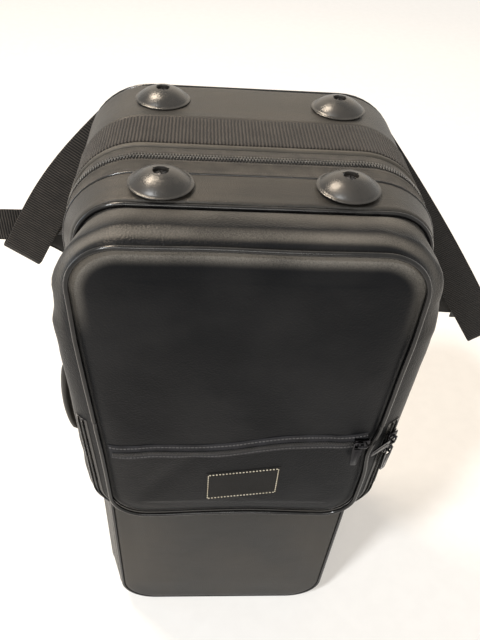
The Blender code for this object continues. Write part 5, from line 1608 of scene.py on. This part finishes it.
@dataclass
class Sliders:
    """Five zip sliders, each with a bail and a pull."""

    length: float = 0.0140
    width: float = 0.0120
    thickness: float = 0.0032
    bail_width: float = 0.0030
    bail_length: float = 0.0095
    bail_bar: float = 0.0012
    bail_hole: float = 0.0028
    pull_length: float = 0.0340
    pull_width: float = 0.0094
    pull_tip: float = 0.0066
    pull_strip: float = 0.0014
    pull_thickness: float = 0.0012
    window: float = 0.0100

    def slider(self, name: str) -> Object:
        """Model one slider in its frame: a waisted body with a channel under it and an arched bail."""
        half = self.width / 2
        body = Bench.box(f"{name}_body", (0.0, -half, -self.length / 2), (self.thickness, half, self.length / 2))
        with Bench.editing(body):
            bpy.ops.mesh.subdivide(number_cuts=5)
            for vert in bmesh.from_edit_mesh(body.data).verts:
                share = vert.co.z / (self.length / 2)
                vert.co.y *= 1.0 - 0.22 * (1.0 - share) ** 2 / 4 - 0.10 * bell(share, -0.1, 0.3)
                vert.co.x = min(vert.co.x, self.thickness - 0.0007 * abs(share) ** 2)
            bmesh.update_edit_mesh(body.data)
        slot = Bench.box("slider_slot", (0.0009, -self.width, -self.length), (0.0019, self.width, self.length))
        stem = self.width * 0.20
        Bench.cut(slot, Bench.box("slider_core", (0.0, -stem, -self.length), (0.005, stem, self.length)))
        Bench.cut(body, slot)
        Bench.eased(body, 0.00035, 2)
        top = self.thickness + self.bail_hole + self.bail_bar / 2
        reach = self.bail_length / 2 - self.bail_bar / 2
        bow = 0.0014
        route = [Vector((self.thickness - 0.0008, 0.0, -reach)), Vector((top - bow, 0.0, -reach))]
        for k in range(1, 6):
            angle = math.pi / 2 * k / 6
            route.append(Vector((top - bow + bow * math.sin(angle), 0.0, -reach + bow * (1 - math.cos(angle)))))
        route += [Vector((p.x, 0.0, -p.z)) for p in reversed(route)]
        bail = Bench.tube(f"{name}_bail", route, self.bail_bar / 2, sides=8)
        bail.data.transform(Matrix.Diagonal((1.0, self.bail_width / self.bail_bar, 1.0, 1.0)))
        Bench.eased(bail, 0.00015, 1)
        return Bench.joined(name, [body, bail])

    def pull(self, name: str, top: float) -> Object:
        """Model one pull in its frame: a tapering plate with a window and a pressed panel.

        Args:
            name: the piece's name.
            top: height of its upper end.

        Returns:
            The pull, hanging along -Z.
        """
        half, tip = self.pull_width / 2, self.pull_tip / 2
        bottom = top - self.pull_length
        c = self.pull_strip
        inner_half = half - c
        low = top - self.window
        outer = [(-half + c, top), (half - c, top), (half, top - c), (half, low - c), (tip, bottom + c),
                 (tip - c, bottom), (-tip + c, bottom), (-tip, bottom + c), (-half, low - c), (-half, top - c)]
        inner = [(-inner_half + 0.0008, top - c), (inner_half - 0.0008, top - c), (inner_half, top - c - 0.0008),
                 (inner_half, low + 0.0010), (inner_half - 0.0010, low), (0.0012, low), (-0.0012, low),
                 (-inner_half + 0.0010, low), (-inner_half, low + 0.0010), (-inner_half, top - c - 0.0008)]
        t = self.pull_thickness / 2
        turns = ((outer, t), (outer, -t), (inner, -t), (inner, t))
        rings = [[Vector((x, y, z)) for y, z in outline] for outline, x in turns]
        pull = Bench.loft(name, rings, section=True)
        Bench.eased(pull, 0.00025, 2, 40.0)
        ridge = Bench.box(f"{name}_panel", (-t - 0.0003, -tip * 0.45, bottom + 0.0040),
                          (t + 0.0003, tip * 0.45, low - 0.0030), 0.0004, 2)
        return Bench.joined(name, [pull, ridge])

    def place(self, names: tuple[str, str], nodes: tuple[str, str], bodies: tuple[str, str], slider: Matrix,
              pull: Matrix, top: float) -> None:
        """Build one slider and its pull at their frames and dress them."""
        piece = Bench.moved(self.slider(names[0]), slider)
        dress(piece, Finish.DARK_METAL, bodies[0], nodes[0], angle=35.0)
        piece = Bench.moved(self.pull(names[1], top), pull)
        dress(piece, Finish.DARK_METAL, bodies[1], nodes[1], angle=35.0)

    def pair(self, zip_name: str, half_at: Callable[[float], float], side: int, y: float, base: float,
             meeting: float, lean: float) -> None:
        """Build two sliders head to head on a side wall, as the CAD places them."""
        travel = wall_travel(half_at, side)
        turn = Matrix.Rotation(-side * lean, 3, "Z")
        normal, forward = turn @ Vector((side, 0, 0)), turn @ Vector((0, -1, 0))
        off = (self.length + CASE.gap) / 2
        for name, z in (("upper", meeting + off), ("lower", meeting - off)):
            origin = Vector((side * half_at(z), y, z)) + normal * base
            frame_here = frame_of(origin, normal, travel)
            hold = frame_here @ Matrix.Translation((self.thickness + self.bail_hole / 2, 0.0, 0.0))
            top = self.pull_strip / 2
            if name == "upper":
                hold = hold @ Matrix.Translation((0.0, 0.0, 0.0017))
                arm = (self.pull_width - self.pull_strip) / 2
                hold = frame_of(hold.translation - travel * arm, normal, -forward)
                top = self.window / 2
            self.place((f"{zip_name}_zip_slider_{name}", f"{zip_name}_zip_pull_{name}"),
                       (f"{zip_name}_slider_{name}", f"{zip_name}_pull_{name}"),
                       (f"{zip_name}_slider_{name}_body", f"{zip_name}_pull_{name}_body"), frame_here, hold, top)

    def build(self, pocket: SoftPocket) -> None:
        """Build all five sliders."""
        self.pair("main", CASE.half_width, -1, CASE.y(CASE.parting), 0.0008, 0.470, 0.0)
        edge, middle = pocket.chain / 2, 0.4105
        fall = POCKET.half(POCKET.zip_depth - edge, middle) - POCKET.half(POCKET.zip_depth + edge, middle)
        lean = math.atan2(fall, pocket.chain)
        base = (pocket.chain_height + 2 * pocket.gap) * math.cos(lean) + pocket.gap
        self.pair("pocket", lambda z: POCKET.half(POCKET.zip_depth, z), 1, POCKET.y(POCKET.zip_depth), base, middle,
                  lean)
        turn = math.radians(pocket.front_zip_tilt)
        along = Vector((math.cos(turn), 0.0, math.sin(turn)))
        depth = POCKET.depth + 0.0010 + pocket.chain_height + 3 * pocket.gap
        place = Vector((pocket.front_zip_x, POCKET.y(depth), pocket.front_zip_z))
        place += along * (pocket.front_zip_half - 0.0055)
        outward = Vector((0, -1, 0))
        hold = place + outward * (self.thickness + self.bail_hole / 2)
        arm = (self.pull_width - self.pull_strip) / 2
        self.place(("front_zip_slider", "front_zip_pull"), ("front_slider", "front_pull"),
                   ("front_slider_body", "front_pull_body"), frame_of(place, outward, -along),
                   frame_of(hold - along * arm, outward, Vector((0, 0, 1))), self.window / 2)


# Side handle


@dataclass
class Handle:
    """The padded grip on the left wall, with its wire ends and brackets, and the short tab near the feet."""

    z: float = 0.296
    span: float = 0.150
    reach: float = 0.046
    width: float = 0.026
    thickness: float = 0.012
    end_width: float = 0.0090
    wire: float = 0.0020
    axis_stand: float = 0.0048
    wire_reach: float = 0.0290
    bracket_length: float = 0.0120
    bracket_width: float = 0.0160
    tab_z: float = 0.566
    tab_length: float = 0.022
    tab_stand: float = 0.0042

    def frame_at(self, z: float, stand: float, depth: float = 0.115) -> Matrix:
        """Return a frame on the left wall: X outwards and Z up the wall."""
        place = Vector((-CASE.half_width(z) - 0.0008 - CASE.gap - stand, CASE.y(depth), z))
        return frame_of(place, Vector((-1, 0, 0)), wall_travel(CASE.half_width, -1))

    def build(self) -> None:
        """Build the grip, its wires, its brackets and the tab."""
        base = self.frame_at(self.z, self.axis_stand, 0.112)
        self.grip(base)
        for name, sign in (("upper", 1), ("lower", -1)):
            self.wire_end(name, sign, base)
            self.bracket(name, sign, base)
        self.tab()

    def grip(self, base: Matrix) -> None:
        """Build the grip: an arched leather tube with a seam and stitches along its inside."""
        reach = self.reach - self.axis_stand - self.thickness / 2
        end = self.span / 2 - self.bracket_length - 3 * self.wire - 0.0003
        rings, seam = [], []
        stations, sides = 56, 28
        for k in range(stations + 1):
            share = k / stations
            z = -end + 2 * end * share
            swell = math.sin(math.pi * min(0.985, max(0.015, share))) ** 0.5
            swell = swell * step(0.0, 0.06, share) * step(1.0, 0.94, share) if 0 < k < stations else 0.0
            bow = self.wire_reach + (reach - self.wire_reach) * math.sin(math.pi * share) ** 0.6
            width = self.end_width + (self.width - self.end_width) * swell
            thick = self.end_width + (self.thickness - self.end_width) * swell
            gather = 1.0 + 0.018 * math.sin(share * 210.0) * (1.0 - step(0.0, 0.12, min(share, 1.0 - share)))
            ring = []
            for i in range(sides):
                angle = math.tau * i / sides
                pinch = 1.0 - 0.22 * bell(math.sin(angle), -1.0, 0.12)
                ring.append(base @ Vector((bow + thick / 2 * math.sin(angle) * gather * pinch,
                                           width / 2 * math.cos(angle) * gather, z)))
            rings.append(ring)
            seam.append(base @ Vector((bow - thick / 2 * 0.80, 0.0, z)))
        grip = Bench.loft("padded_grip", rings, fill=True)
        dress(grip, Finish.LEATHERETTE, "handle", "handle_grip", angle=60.0)
        line = Line(seam)
        frames = [frame_of(p + Vector((0, 0.0024 * s, 0)), Vector((1, 0, 0)), a)
                  for p, a in line.stations(0.0042, 0.012, line.length - 0.012) for s in (-1, 1)]
        stitch = Bench.box("grip_stitch", (-0.0004, -0.00035, -0.0013), (0.0004, 0.00035, 0.0013), 0.0003, 2)
        dress(Bench.copies("grip_stitches", stitch, frames), Finish.TAPE_THREAD, "handle", angle=60.0)

    def wire_end(self, name: str, sign: int, base: Matrix) -> None:
        """Build one bent wire end."""
        outer = self.span / 2
        bend = outer - self.bracket_length - self.wire - 0.0003
        inner = outer - self.bracket_length - 3 * self.wire - 0.0003
        route = [Vector((0.0, 0.0, outer - 0.0003)), Vector((0.0, 0.0, bend + 0.0020))]
        for k in range(1, 5):
            angle = math.pi / 2 * k / 5
            route.append(Vector((0.0018 * (1 - math.cos(angle)), 0.0, bend + 0.0018 * (1 - math.sin(angle)))))
        route += [Vector((0.0018, 0.0, bend)), Vector((self.wire_reach - 0.0018, 0.0, bend))]
        for k in range(1, 5):
            angle = math.pi / 2 * k / 5
            route.append(Vector((self.wire_reach - 0.0018 + 0.0018 * math.sin(angle), 0.0,
                                 bend - 0.0018 * (1 - math.cos(angle)))))
        route.append(Vector((self.wire_reach, 0.0, inner + 0.0002)))
        points = [base @ Vector((p.x, p.y, sign * p.z)) for p in route]
        wire = Bench.tube(f"grip_wire_{name}", points, self.wire, sides=14)
        dress(wire, Finish.STEEL, "handle", f"handle_end_{name}", angle=50.0)

    def bracket(self, name: str, sign: int, base: Matrix) -> None:
        """Build one bracket: a rolled barrel on a plate with two rivets."""
        outer, inner = self.span / 2, self.span / 2 - self.bracket_length
        low, high = sorted((sign * inner, sign * outer))
        half, stand = self.bracket_width / 2, self.axis_stand
        plate = Bench.box(f"bracket_plate_{name}", (-stand, -half, low), (-stand + 0.0014, half, high), 0.0005, 3)
        turns = [math.tau * k / 32 for k in range(32)]
        edge = 0.0004
        profile = ((0.0025, low), (0.0044, low), (0.0048, low + edge), (0.0048, high - edge), (0.0044, high),
                   (0.0025, high))
        rings = [[Vector((radius * math.cos(a), radius * math.sin(a), z)) for a in turns] for radius, z in profile]
        barrel = Bench.loft(f"bracket_barrel_{name}", rings, section=True)
        web = Bench.box(f"bracket_web_{name}", (-stand + 0.0002, -0.0046, low + edge),
                        (-0.0022, 0.0046, high - edge), edge, 2)
        rivets = []
        for y in (-half + 0.0022, half - 0.0022):
            cap = Bench.turned("rivet_cap", [(0.0, 0.0010), (0.0008, 0.0009), (0.0013, 0.0005), (0.0015, 0.0),
                                             (0.0, -0.0003)], 14)
            lie = Matrix.Translation((-stand + 0.0014, y, (low + high) / 2)) @ Matrix.Rotation(math.pi / 2, 4, "Y")
            rivets.append(Bench.moved(cap, lie))
        piece = Bench.joined(f"grip_bracket_{name}", [plate, barrel, web] + rivets)
        Bench.moved(piece, base)
        dress(piece, Finish.DARK_METAL, "case_back", f"handle_bracket_{name}", angle=40.0)

    def tab(self) -> None:
        """Build the folded tab on the webbing near the feet."""
        base = self.frame_at(self.tab_z, 0.0)
        half_depth, half = 0.048 * 0.45, self.tab_length / 2
        rings = []
        for k in range(15):
            y = -half_depth + 2 * half_depth * k / 14
            ring = []
            for i in range(24):
                angle = math.tau * i / 24
                squeeze = abs(math.cos(angle)) ** 0.35 * (1 if math.cos(angle) > 0 else -1)
                x = self.tab_stand / 2 * (1.0 + abs(math.sin(angle)) ** 0.5 * (1 if math.sin(angle) > 0 else -1))
                wave = 0.0005 * ripple(y * 60.0, squeeze * 2.0, 3.0)
                ring.append(base @ Vector((max(0.0001, x + wave), y, half * squeeze)))
            rings.append(ring)
        tab = Bench.loft("folded_tab", rings, fill=True)
        dress(tab, Finish.BINDING, "case_back", "side_tab", angle=50.0)


# Shoulder straps


@dataclass
class Straps:
    """Both shoulder straps: webbing, locks, padded parts and the anchor."""

    width: float = 0.045
    thickness: float = 0.0016
    stand: float = 0.0005
    turn_radius: float = 0.0110
    start: Point2 = (0.118, 0.605)
    left_slope: Point2 = (-0.592, -0.806)
    left_run: float = 0.214
    left_return: float = 0.050
    left_tail: float = 0.085
    right_slope: Point2 = (0.620, -0.785)
    right_run: float = 0.362
    right_return: float = 0.045
    left_bow: float = 0.010
    right_bow: float = 0.005
    lock: tuple[float, float, float] = (0.054, 0.0024, 0.026)
    pad_width: float = 0.056
    pad_thickness: float = 0.008
    anchor: tuple[float, float, float, float] = (0.118, 0.150, 0.044, 0.009)
    left_pad: tuple[Colour, ...] = (
        (-0.236, 0.243, 0.458), (-0.206, 0.245, 0.442), (-0.165, 0.245, 0.405), (-0.120, 0.240, 0.335),
        (-0.080, 0.231, 0.245), (-0.052, 0.222, 0.170), (-0.038, 0.2172, 0.105))
    right_pad: tuple[Colour, ...] = (
        (0.318, 0.243, 0.354), (0.286, 0.245, 0.356), (0.240, 0.245, 0.356), (0.180, 0.242, 0.326),
        (0.118, 0.235, 0.254), (0.066, 0.224, 0.176), (0.038, 0.2172, 0.105))

    def build(self) -> None:
        """Build both straps and the anchor."""
        for name, side, slope, run, back, tail, pad in (
            ("left", -1, self.left_slope, self.left_run, self.left_return, self.left_tail, self.left_pad),
            ("right", 1, self.right_slope, self.right_run, self.right_return, 0.0, self.right_pad),
        ):
            hold = self.webbing(name, side, slope, run, back, tail)
            self.lock_piece(name, hold)
            self.pad(name, pad)
        self.anchor_piece()

    def webbing(self, name: str, side: int, slope: Point2, run: float, back: float, tail: float) -> Vector:
        """Build one strap's webbing, and return where its lock holds it."""
        along = Vector((slope[0], 0.0, slope[1])).normalized()
        across = Vector((-along.z, 0.0, along.x))
        start = Vector((side * self.start[0], CASE.y(CASE.depth + self.stand + self.thickness / 2), self.start[1]))
        bow = (self.left_bow if side < 0 else self.right_bow) * (1 if across.x * side > 0 else -1)
        stations = [(start + along * (run * k / 40) + across * (bow * math.sin(math.pi * k / 40)),
                     Vector((0, -1, 0))) for k in range(41)]
        centre = start + along * run + Vector((0, self.turn_radius, 0))
        for k in range(1, 15):
            angle = math.pi * k / 14
            normal = Vector((0, -math.cos(angle), 0)) + along * math.sin(angle)
            stations.append((centre + normal * self.turn_radius, normal))
        end = stations[-1][0]
        stations += [(end - along * (back * k / 8), stations[-1][1]) for k in range(1, 9)]
        piece = self.ribbon(f"strap_weave_{name}", stations, across)
        hold = stations[-1][0] + along * self.width / 2
        if tail:
            out = Vector((side, 0.0, 0.0))
            spots = [(hold + out * ((tail + self.width / 2) * k / 20), Vector((0, 1, 0))) for k in range(21)]
            piece = Bench.joined(f"strap_weave_{name}", [
                piece, self.ribbon("strap_tail", spots, Vector((0.0, 0.0, 0.98)), 0.9, 0.9)])
        # The right strap takes the shaded copy of the webbing, painted darker for the shade it lies in.
        finish = Finish.STRAP if side < 0 else Finish.SHADED_STRAP
        dress(piece, finish, "case_back", f"strap_webbing_{name}", angle=50.0)
        return hold

    def ribbon(self, name: str, stations: Sequence[tuple[Vector, Vector]], across: Vector, thin: float = 1.0,
               taper: float = 1.0) -> Object:
        """Model a flat woven ribbon with rounded edges through stations of (centre, normal)."""
        rings = []
        count = len(stations)
        half, thick = self.width / 2, self.thickness * thin / 2
        front = [(-1.0, 0.0), (-0.985, 0.8), (-0.93, 1.0), (-0.45, 0.94), (0.0, 0.94), (0.45, 0.94), (0.93, 1.0),
                 (0.985, 0.8)]
        shape = front + [(-u, -v) for u, v in front]
        for k, (centre, normal) in enumerate(stations):
            scale = 1.0 + (taper - 1.0) * k / (count - 1)
            rings.append([centre + across * (u * half * scale) + normal * (v * thick) for u, v in shape])
        return Bench.loft(name, rings, fill=True, widths=Line([centre for centre, _ in stations]).lengths)

    def lock_piece(self, name: str, hold: Vector) -> None:
        """Build one three-bar lock."""
        width, thickness, length = self.lock
        centre = hold + Vector((0.0, self.thickness / 2 + 0.0003 + thickness / 2, 0.0))
        half = Vector((width / 2, thickness / 2, length / 2))
        lock = Bench.box(f"three_bar_lock_{name}", centre - half, centre + half, 0.0009, 3)
        bar = length / 7
        tools = []
        for sign in (1, -1):
            z = sorted((centre.z + sign * bar / 2, centre.z + sign * (length / 2 - bar)))
            tools.append(Bench.box("lock_slot", (centre.x - self.width / 2, centre.y - 0.01, z[0]),
                                   (centre.x + self.width / 2, centre.y + 0.01, z[1]), 0.0008, 2))
        Bench.cut(lock, Bench.joined("lock_slots", tools))
        dress(lock, Finish.PLASTIC, "case_back", f"strap_lock_{name}", angle=35.0)

    def pad(self, name: str, points: Sequence[Colour]) -> None:
        """Build one padded part, swollen by a cloth simulation, with bound edges."""
        route = self.smooth_line([Vector((x, CASE.y(depth), z)) for x, depth, z in points], 8)
        rings, edges = [], ([], [])
        half = self.pad_width / 2 * 0.97
        for i, here in enumerate(route):
            along = (route[min(i + 1, len(route) - 1)] - route[max(i - 1, 0)]).normalized()
            normal = (Vector((0, 1, 0)) - along * along.y).normalized()
            across = along.cross(normal)
            body = self.pad_thickness / 2 * 0.80
            end = step(0.0, 0.04, min(i, len(route) - 1 - i) / (len(route) - 1) + 0.012)
            shape = [(-1.0, 0.0), (-0.97, 0.45), (-0.88, 0.75), (-0.6, 0.95), (-0.2, 1.0), (0.2, 1.0), (0.6, 0.95),
                     (0.88, 0.75), (0.97, 0.45), (1.0, 0.0), (0.97, -0.45), (0.88, -0.75), (0.6, -0.85), (0.2, -0.85),
                     (-0.2, -0.85), (-0.6, -0.85), (-0.88, -0.75), (-0.97, -0.45)]
            rings.append([here + across * (u * half) + normal * (v * body * (0.55 + 0.45 * end)) for u, v in shape])
            for row, sign in zip(edges, (-1, 1)):
                row.append(here + across * (sign * half * 0.985))
        pad = Bench.loft(f"padded_strap_{name}", rings, fill=True)
        pad = PaddedCloth().swell(pad)
        cut = self.anchor[0] + CASE.gap
        with Bench.editing(pad):
            bpy.ops.mesh.bisect(plane_co=(0.0, 0.0, cut), plane_no=(0.0, 0.0, 1.0), use_fill=True, clear_inner=True)
        bpy.context.view_layer.update()
        rims = [self.calmed([pad.closest_point_on_mesh(p)[1] for p in row if p.z > cut + 0.001]) for row in edges]
        dress(pad, Finish.PAD, "case_back", f"strap_pad_{name}", angle=60.0)
        for label, kept in zip(("inner", "outer"), rims):
            cord = Bench.tube(f"strap_edge_{name}_{label}", kept, 0.0016, sides=8, squash=1.3)
            dress(cord, Finish.BINDING_DARK, "case_back", angle=80.0)

    @staticmethod
    def calmed(points: Sequence[Vector]) -> list[Vector]:
        """Return a row of points evened out between its ends."""
        row = list(points)
        for _ in range(4):
            row = [row[0]] + [(a + b * 2 + c) / 4 for a, b, c in zip(row, row[1:], row[2:])] + [row[-1]]
        return row

    @staticmethod
    def smooth_line(points: Sequence[Vector], steps: int) -> list[Vector]:
        """Return points along a smooth curve through the given points."""
        points = list(points)
        ends = [points[0] * 2 - points[1]] + points + [points[-1] * 2 - points[-2]]
        line = [points[0]]
        for before, start, end, after in zip(ends, ends[1:], ends[2:], ends[3:]):
            for k in range(1, steps + 1):
                t = k / steps
                line.append(0.5 * (start * 2 + (end - before) * t + (before * 2 - start * 5 + end * 4 - after) * t ** 2
                                   + (start * 3 - before - end * 3 + after) * t ** 3))
        return line

    def anchor_piece(self) -> None:
        """Build the anchor low on the back, a stitched leatherette block that holds both pads."""
        top, width, height, thick = self.anchor
        back = CASE.y(CASE.depth + CASE.gap)
        block = Bench.box("anchor_cover", (-width / 2, back, top - height), (width / 2, back + thick, top), 0.0028, 5)
        dress(block, Finish.LEATHERETTE, "case_back", "strap_anchor", angle=40.0)
        rim = 0.006
        x, low, high = width / 2 - rim, top - height + rim, top - rim
        corners = [Vector((u, back + thick, v)) for u, v in ((-x, low), (x, low), (x, high), (-x, high))]
        frames = [frame_of(p, Vector((0, 1, 0)), a) for p, a in Line(corners, closed=True).stations(0.0036)]
        stitch = Bench.box("anchor_stitch", (-0.0002, -0.0004, -0.0011), (0.0004, 0.0004, 0.0011), 0.0002, 2)
        dress(Bench.copies("anchor_stitches", stitch, frames), Finish.TAPE_THREAD, "case_back", angle=60.0)


@dataclass
class PaddedCloth:
    """A cloth simulation that swells a padded piece."""

    voxel: float = 0.0045
    pressure: float = 4.0
    cap: float = 0.0026
    frames: int = 20

    def swell(self, piece: Object) -> Object:
        """Remesh a piece, swell it as cloth, cap how far each point moves and smooth it.

        Args:
            piece: the piece, a little thinner than it ends.

        Returns:
            The same piece with its new mesh.
        """
        Bench.modify(piece, "REMESH", mode="VOXEL", voxel_size=self.voxel)
        rest = [vert.co.copy() for vert in piece.data.vertices]
        Bench.take(piece)
        cloth = piece.modifiers.new("cloth", "CLOTH")
        cloth.settings.use_pressure = True
        cloth.settings.uniform_pressure_force = self.pressure
        cloth.settings.effector_weights.gravity = 0.0
        scene = bpy.context.scene
        for frame_number in range(1, self.frames + 1):
            scene.frame_set(frame_number)
        bpy.ops.object.modifier_apply(modifier=cloth.name)
        scene.frame_set(1)
        for vert, start in zip(piece.data.vertices, rest):
            move = vert.co - start
            if move.length > self.cap:
                vert.co = start + move.normalized() * self.cap
        Bench.modify(piece, "SUBSURF", levels=1, render_levels=1)
        return piece


# Inside


@dataclass
class Inside:
    """The plush insert, the accessory box and the pad in the lid."""

    voxel: float = 0.0040
    rounds: int = 5
    box_bevel: float = 0.0011

    def build(self) -> None:
        """Dress the inside."""
        repaint(Finish.LINING, "back_core", "lid_core")
        self.plush("plush_insert", "foam_insert", "case_back", 0.9)
        self.plush("plush_lid_pad", "lid_pad", "lid", 0.7)
        for name, node, body in (("plush_box", "accessory_box", "case_back"),
                                 ("plush_box_lid", "accessory_lid", "accessory_lid_body")):
            piece = self.copy_of(name, node)
            Bench.eased(piece, self.box_bevel, 3)
            dress(piece, Finish.PLUSH, body, node, angle=50.0)

    @staticmethod
    def copy_of(name: str, node: str) -> Object:
        """Return a welded copy of a CAD node's mesh."""
        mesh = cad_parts[node].data.copy()
        mesh.name = name
        piece = Bench.linked(name, mesh)
        with Bench.editing(piece):
            bpy.ops.mesh.remove_doubles(threshold=0.00001)
            bpy.ops.mesh.dissolve_limited(angle_limit=math.radians(1.0))
        return piece

    def plush(self, name: str, node: str, body: str, fill: float) -> None:
        """Build one soft piece: the solid's shape, remeshed and rounded as plush over foam is."""
        piece = self.copy_of(name, node)
        Bench.modify(piece, "REMESH", mode="VOXEL", voxel_size=self.voxel)
        Bench.modify(piece, "SMOOTH", factor=0.5, iterations=self.rounds)
        for vert in piece.data.vertices:
            place = vert.co
            vert.co.y += 0.0005 * ripple(place.x * 26.0, 2.0, place.z * 26.0)
        dress(piece, Finish.PLUSH, body, node, angle=70.0)


# Studio


@dataclass
class Studio:
    """Camera, lamps, world and floor."""

    camera_place: Colour = (-0.0465, -0.5108, 0.8887)
    yaw: float = 0.0983
    pitch: float = 0.7373
    roll: float = -0.0889
    focal_px: float = 636.2
    picture_height: int = 640
    key_ray: Colour = (0.60, 0.50, -0.95)
    key_strength: float = 2.5
    key_angle: float = 0.13

    def build(self) -> None:
        """Build the whole studio."""
        bpy.context.scene.view_settings.view_transform = "Standard"
        self.camera()
        self.lamps()
        self.world()
        self.floor()

    def camera(self) -> None:
        """Set the camera at the photograph's viewpoint."""
        data = bpy.data.cameras.new("camera")
        data.sensor_width = 36.0
        data.lens = self.focal_px / self.picture_height * data.sensor_width
        data.clip_start = 0.02
        data.clip_end = 50.0
        camera = Bench.linked("camera", data)
        ahead = Vector((math.sin(self.yaw) * math.cos(self.pitch), math.cos(self.yaw) * math.cos(self.pitch),
                        -math.sin(self.pitch)))
        right = Vector((math.cos(self.yaw), -math.sin(self.yaw), 0.0))
        down = ahead.cross(right)
        side = right * math.cos(self.roll) + down * math.sin(self.roll)
        fall = down * math.cos(self.roll) - right * math.sin(self.roll)
        turn = Matrix((side, -fall, -ahead)).transposed().to_4x4()
        turn.translation = Vector(self.camera_place)
        camera.matrix_world = turn
        bpy.context.scene.camera = camera

    @staticmethod
    def lamp(name: str, place: Colour, target: Colour, size: Point2, power: float, colour: Colour) -> None:
        """Add one soft rectangular lamp that faces a target."""
        data = bpy.data.lights.new(name, "AREA")
        data.shape = "RECTANGLE"
        data.size, data.size_y = size
        data.energy = power
        data.color = colour
        lamp = Bench.linked(name, data)
        lamp.location = place
        lamp.rotation_euler = (Vector(target) - Vector(place)).to_track_quat("-Z", "Y").to_euler()
        lamp.visible_camera = False

    def lamps(self) -> None:
        """Add the key light high on the left in front, the warm wall behind and the cool window."""
        key = bpy.data.lights.new("key", "SUN")
        key.energy, key.angle, key.color = self.key_strength, self.key_angle, (0.975, 0.99, 1.0)
        lamp = Bench.linked("key", key)
        lamp.rotation_euler = Vector(self.key_ray).to_track_quat("-Z", "Y").to_euler()
        self.lamp("wall_glow", (0.2, 1.9, 1.5), (0.0, 0.0, 0.5), (2.6, 1.4), 8.0, (1.0, 0.80, 0.56))
        self.lamp("ceiling", (-0.78, 0.62, 2.35), (0.0, 0.0, 0.6), (0.46, 0.46), 46.0, (1.0, 0.84, 0.66))
        self.lamp("room", (-0.25, -2.0, 1.85), (0.0, 0.0, 0.6), (1.5, 0.5), 24.0, (1.0, 0.97, 0.93))
        self.lamp("window", (-1.9, 0.35, 0.75), (-0.1, 0.0, 0.45), (0.35, 0.8), 5.0, (0.62, 0.80, 1.0))

    @staticmethod
    def seen(t: "ShaderTree") -> Socket:
        """Return 1 where a camera, glossy or transmission ray meets the surface."""
        rays = [t.node("ShaderNodeLightPath", output=name) for name in
                ("Is Camera Ray", "Is Glossy Ray", "Is Transmission Ray")]
        return rays[0].highest(rays[1]).highest(rays[2])

    def world(self) -> None:
        """Set a dim even world that is seen as a white room."""
        world = bpy.data.worlds.new("studio_world")
        bpy.context.scene.world = world
        t = ShaderTree.of_world(world)
        dim = t.node("ShaderNodeBackground", inputs={"Color": (1.0, 0.82, 0.62, 1.0), "Strength": 0.32})
        white = t.node("ShaderNodeBackground", inputs={"Color": (1.0, 0.97, 0.91, 1.0), "Strength": 1.0})
        t.output(t.node("ShaderNodeMixShader", inputs={0: self.seen(t), 1: dim, 2: white}))

    def floor(self) -> None:
        """Lay the pale floor, which keeps the shadow."""
        Bench.clear()
        bpy.ops.mesh.primitive_plane_add(size=14.0, location=(0.0, 3.0, -0.0004))
        floor = Bench.named("studio_floor")
        t = ShaderTree("floor_paint")
        fine = t.grain(40.0, 3.0)
        colour = t.blend(fine.band(0.3, 0.7), (0.86, 0.85, 0.83), (0.89, 0.88, 0.86))
        material = t.finish(colour, 0.9, Specular_IOR_Level=0.1)
        glow = t.node("ShaderNodeEmission", inputs={"Color": (1.0, 0.99, 0.97, 1.0), "Strength": 1.0})
        paint = Socket(t, t.shader.outputs["BSDF"])
        t.output(t.node("ShaderNodeMixShader", inputs={0: self.seen(t) * 0.36, 1: paint, 2: glow}))
        floor.data.materials.append(material)


def main() -> None:
    """Build every part of the case in order."""
    logging.basicConfig(level=logging.INFO, format="%(message)s")
    studio = Studio()
    studio.build()
    pocket = SoftPocket()
    for part in (ShellHalves(), MainZip(), Feet(), pocket, Handle(), Straps(), Inside()):
        LOG.info("Building %s", type(part).__name__)
        part.build()
    Sliders().build(pocket)


if __name__ == "__main__":
    main()
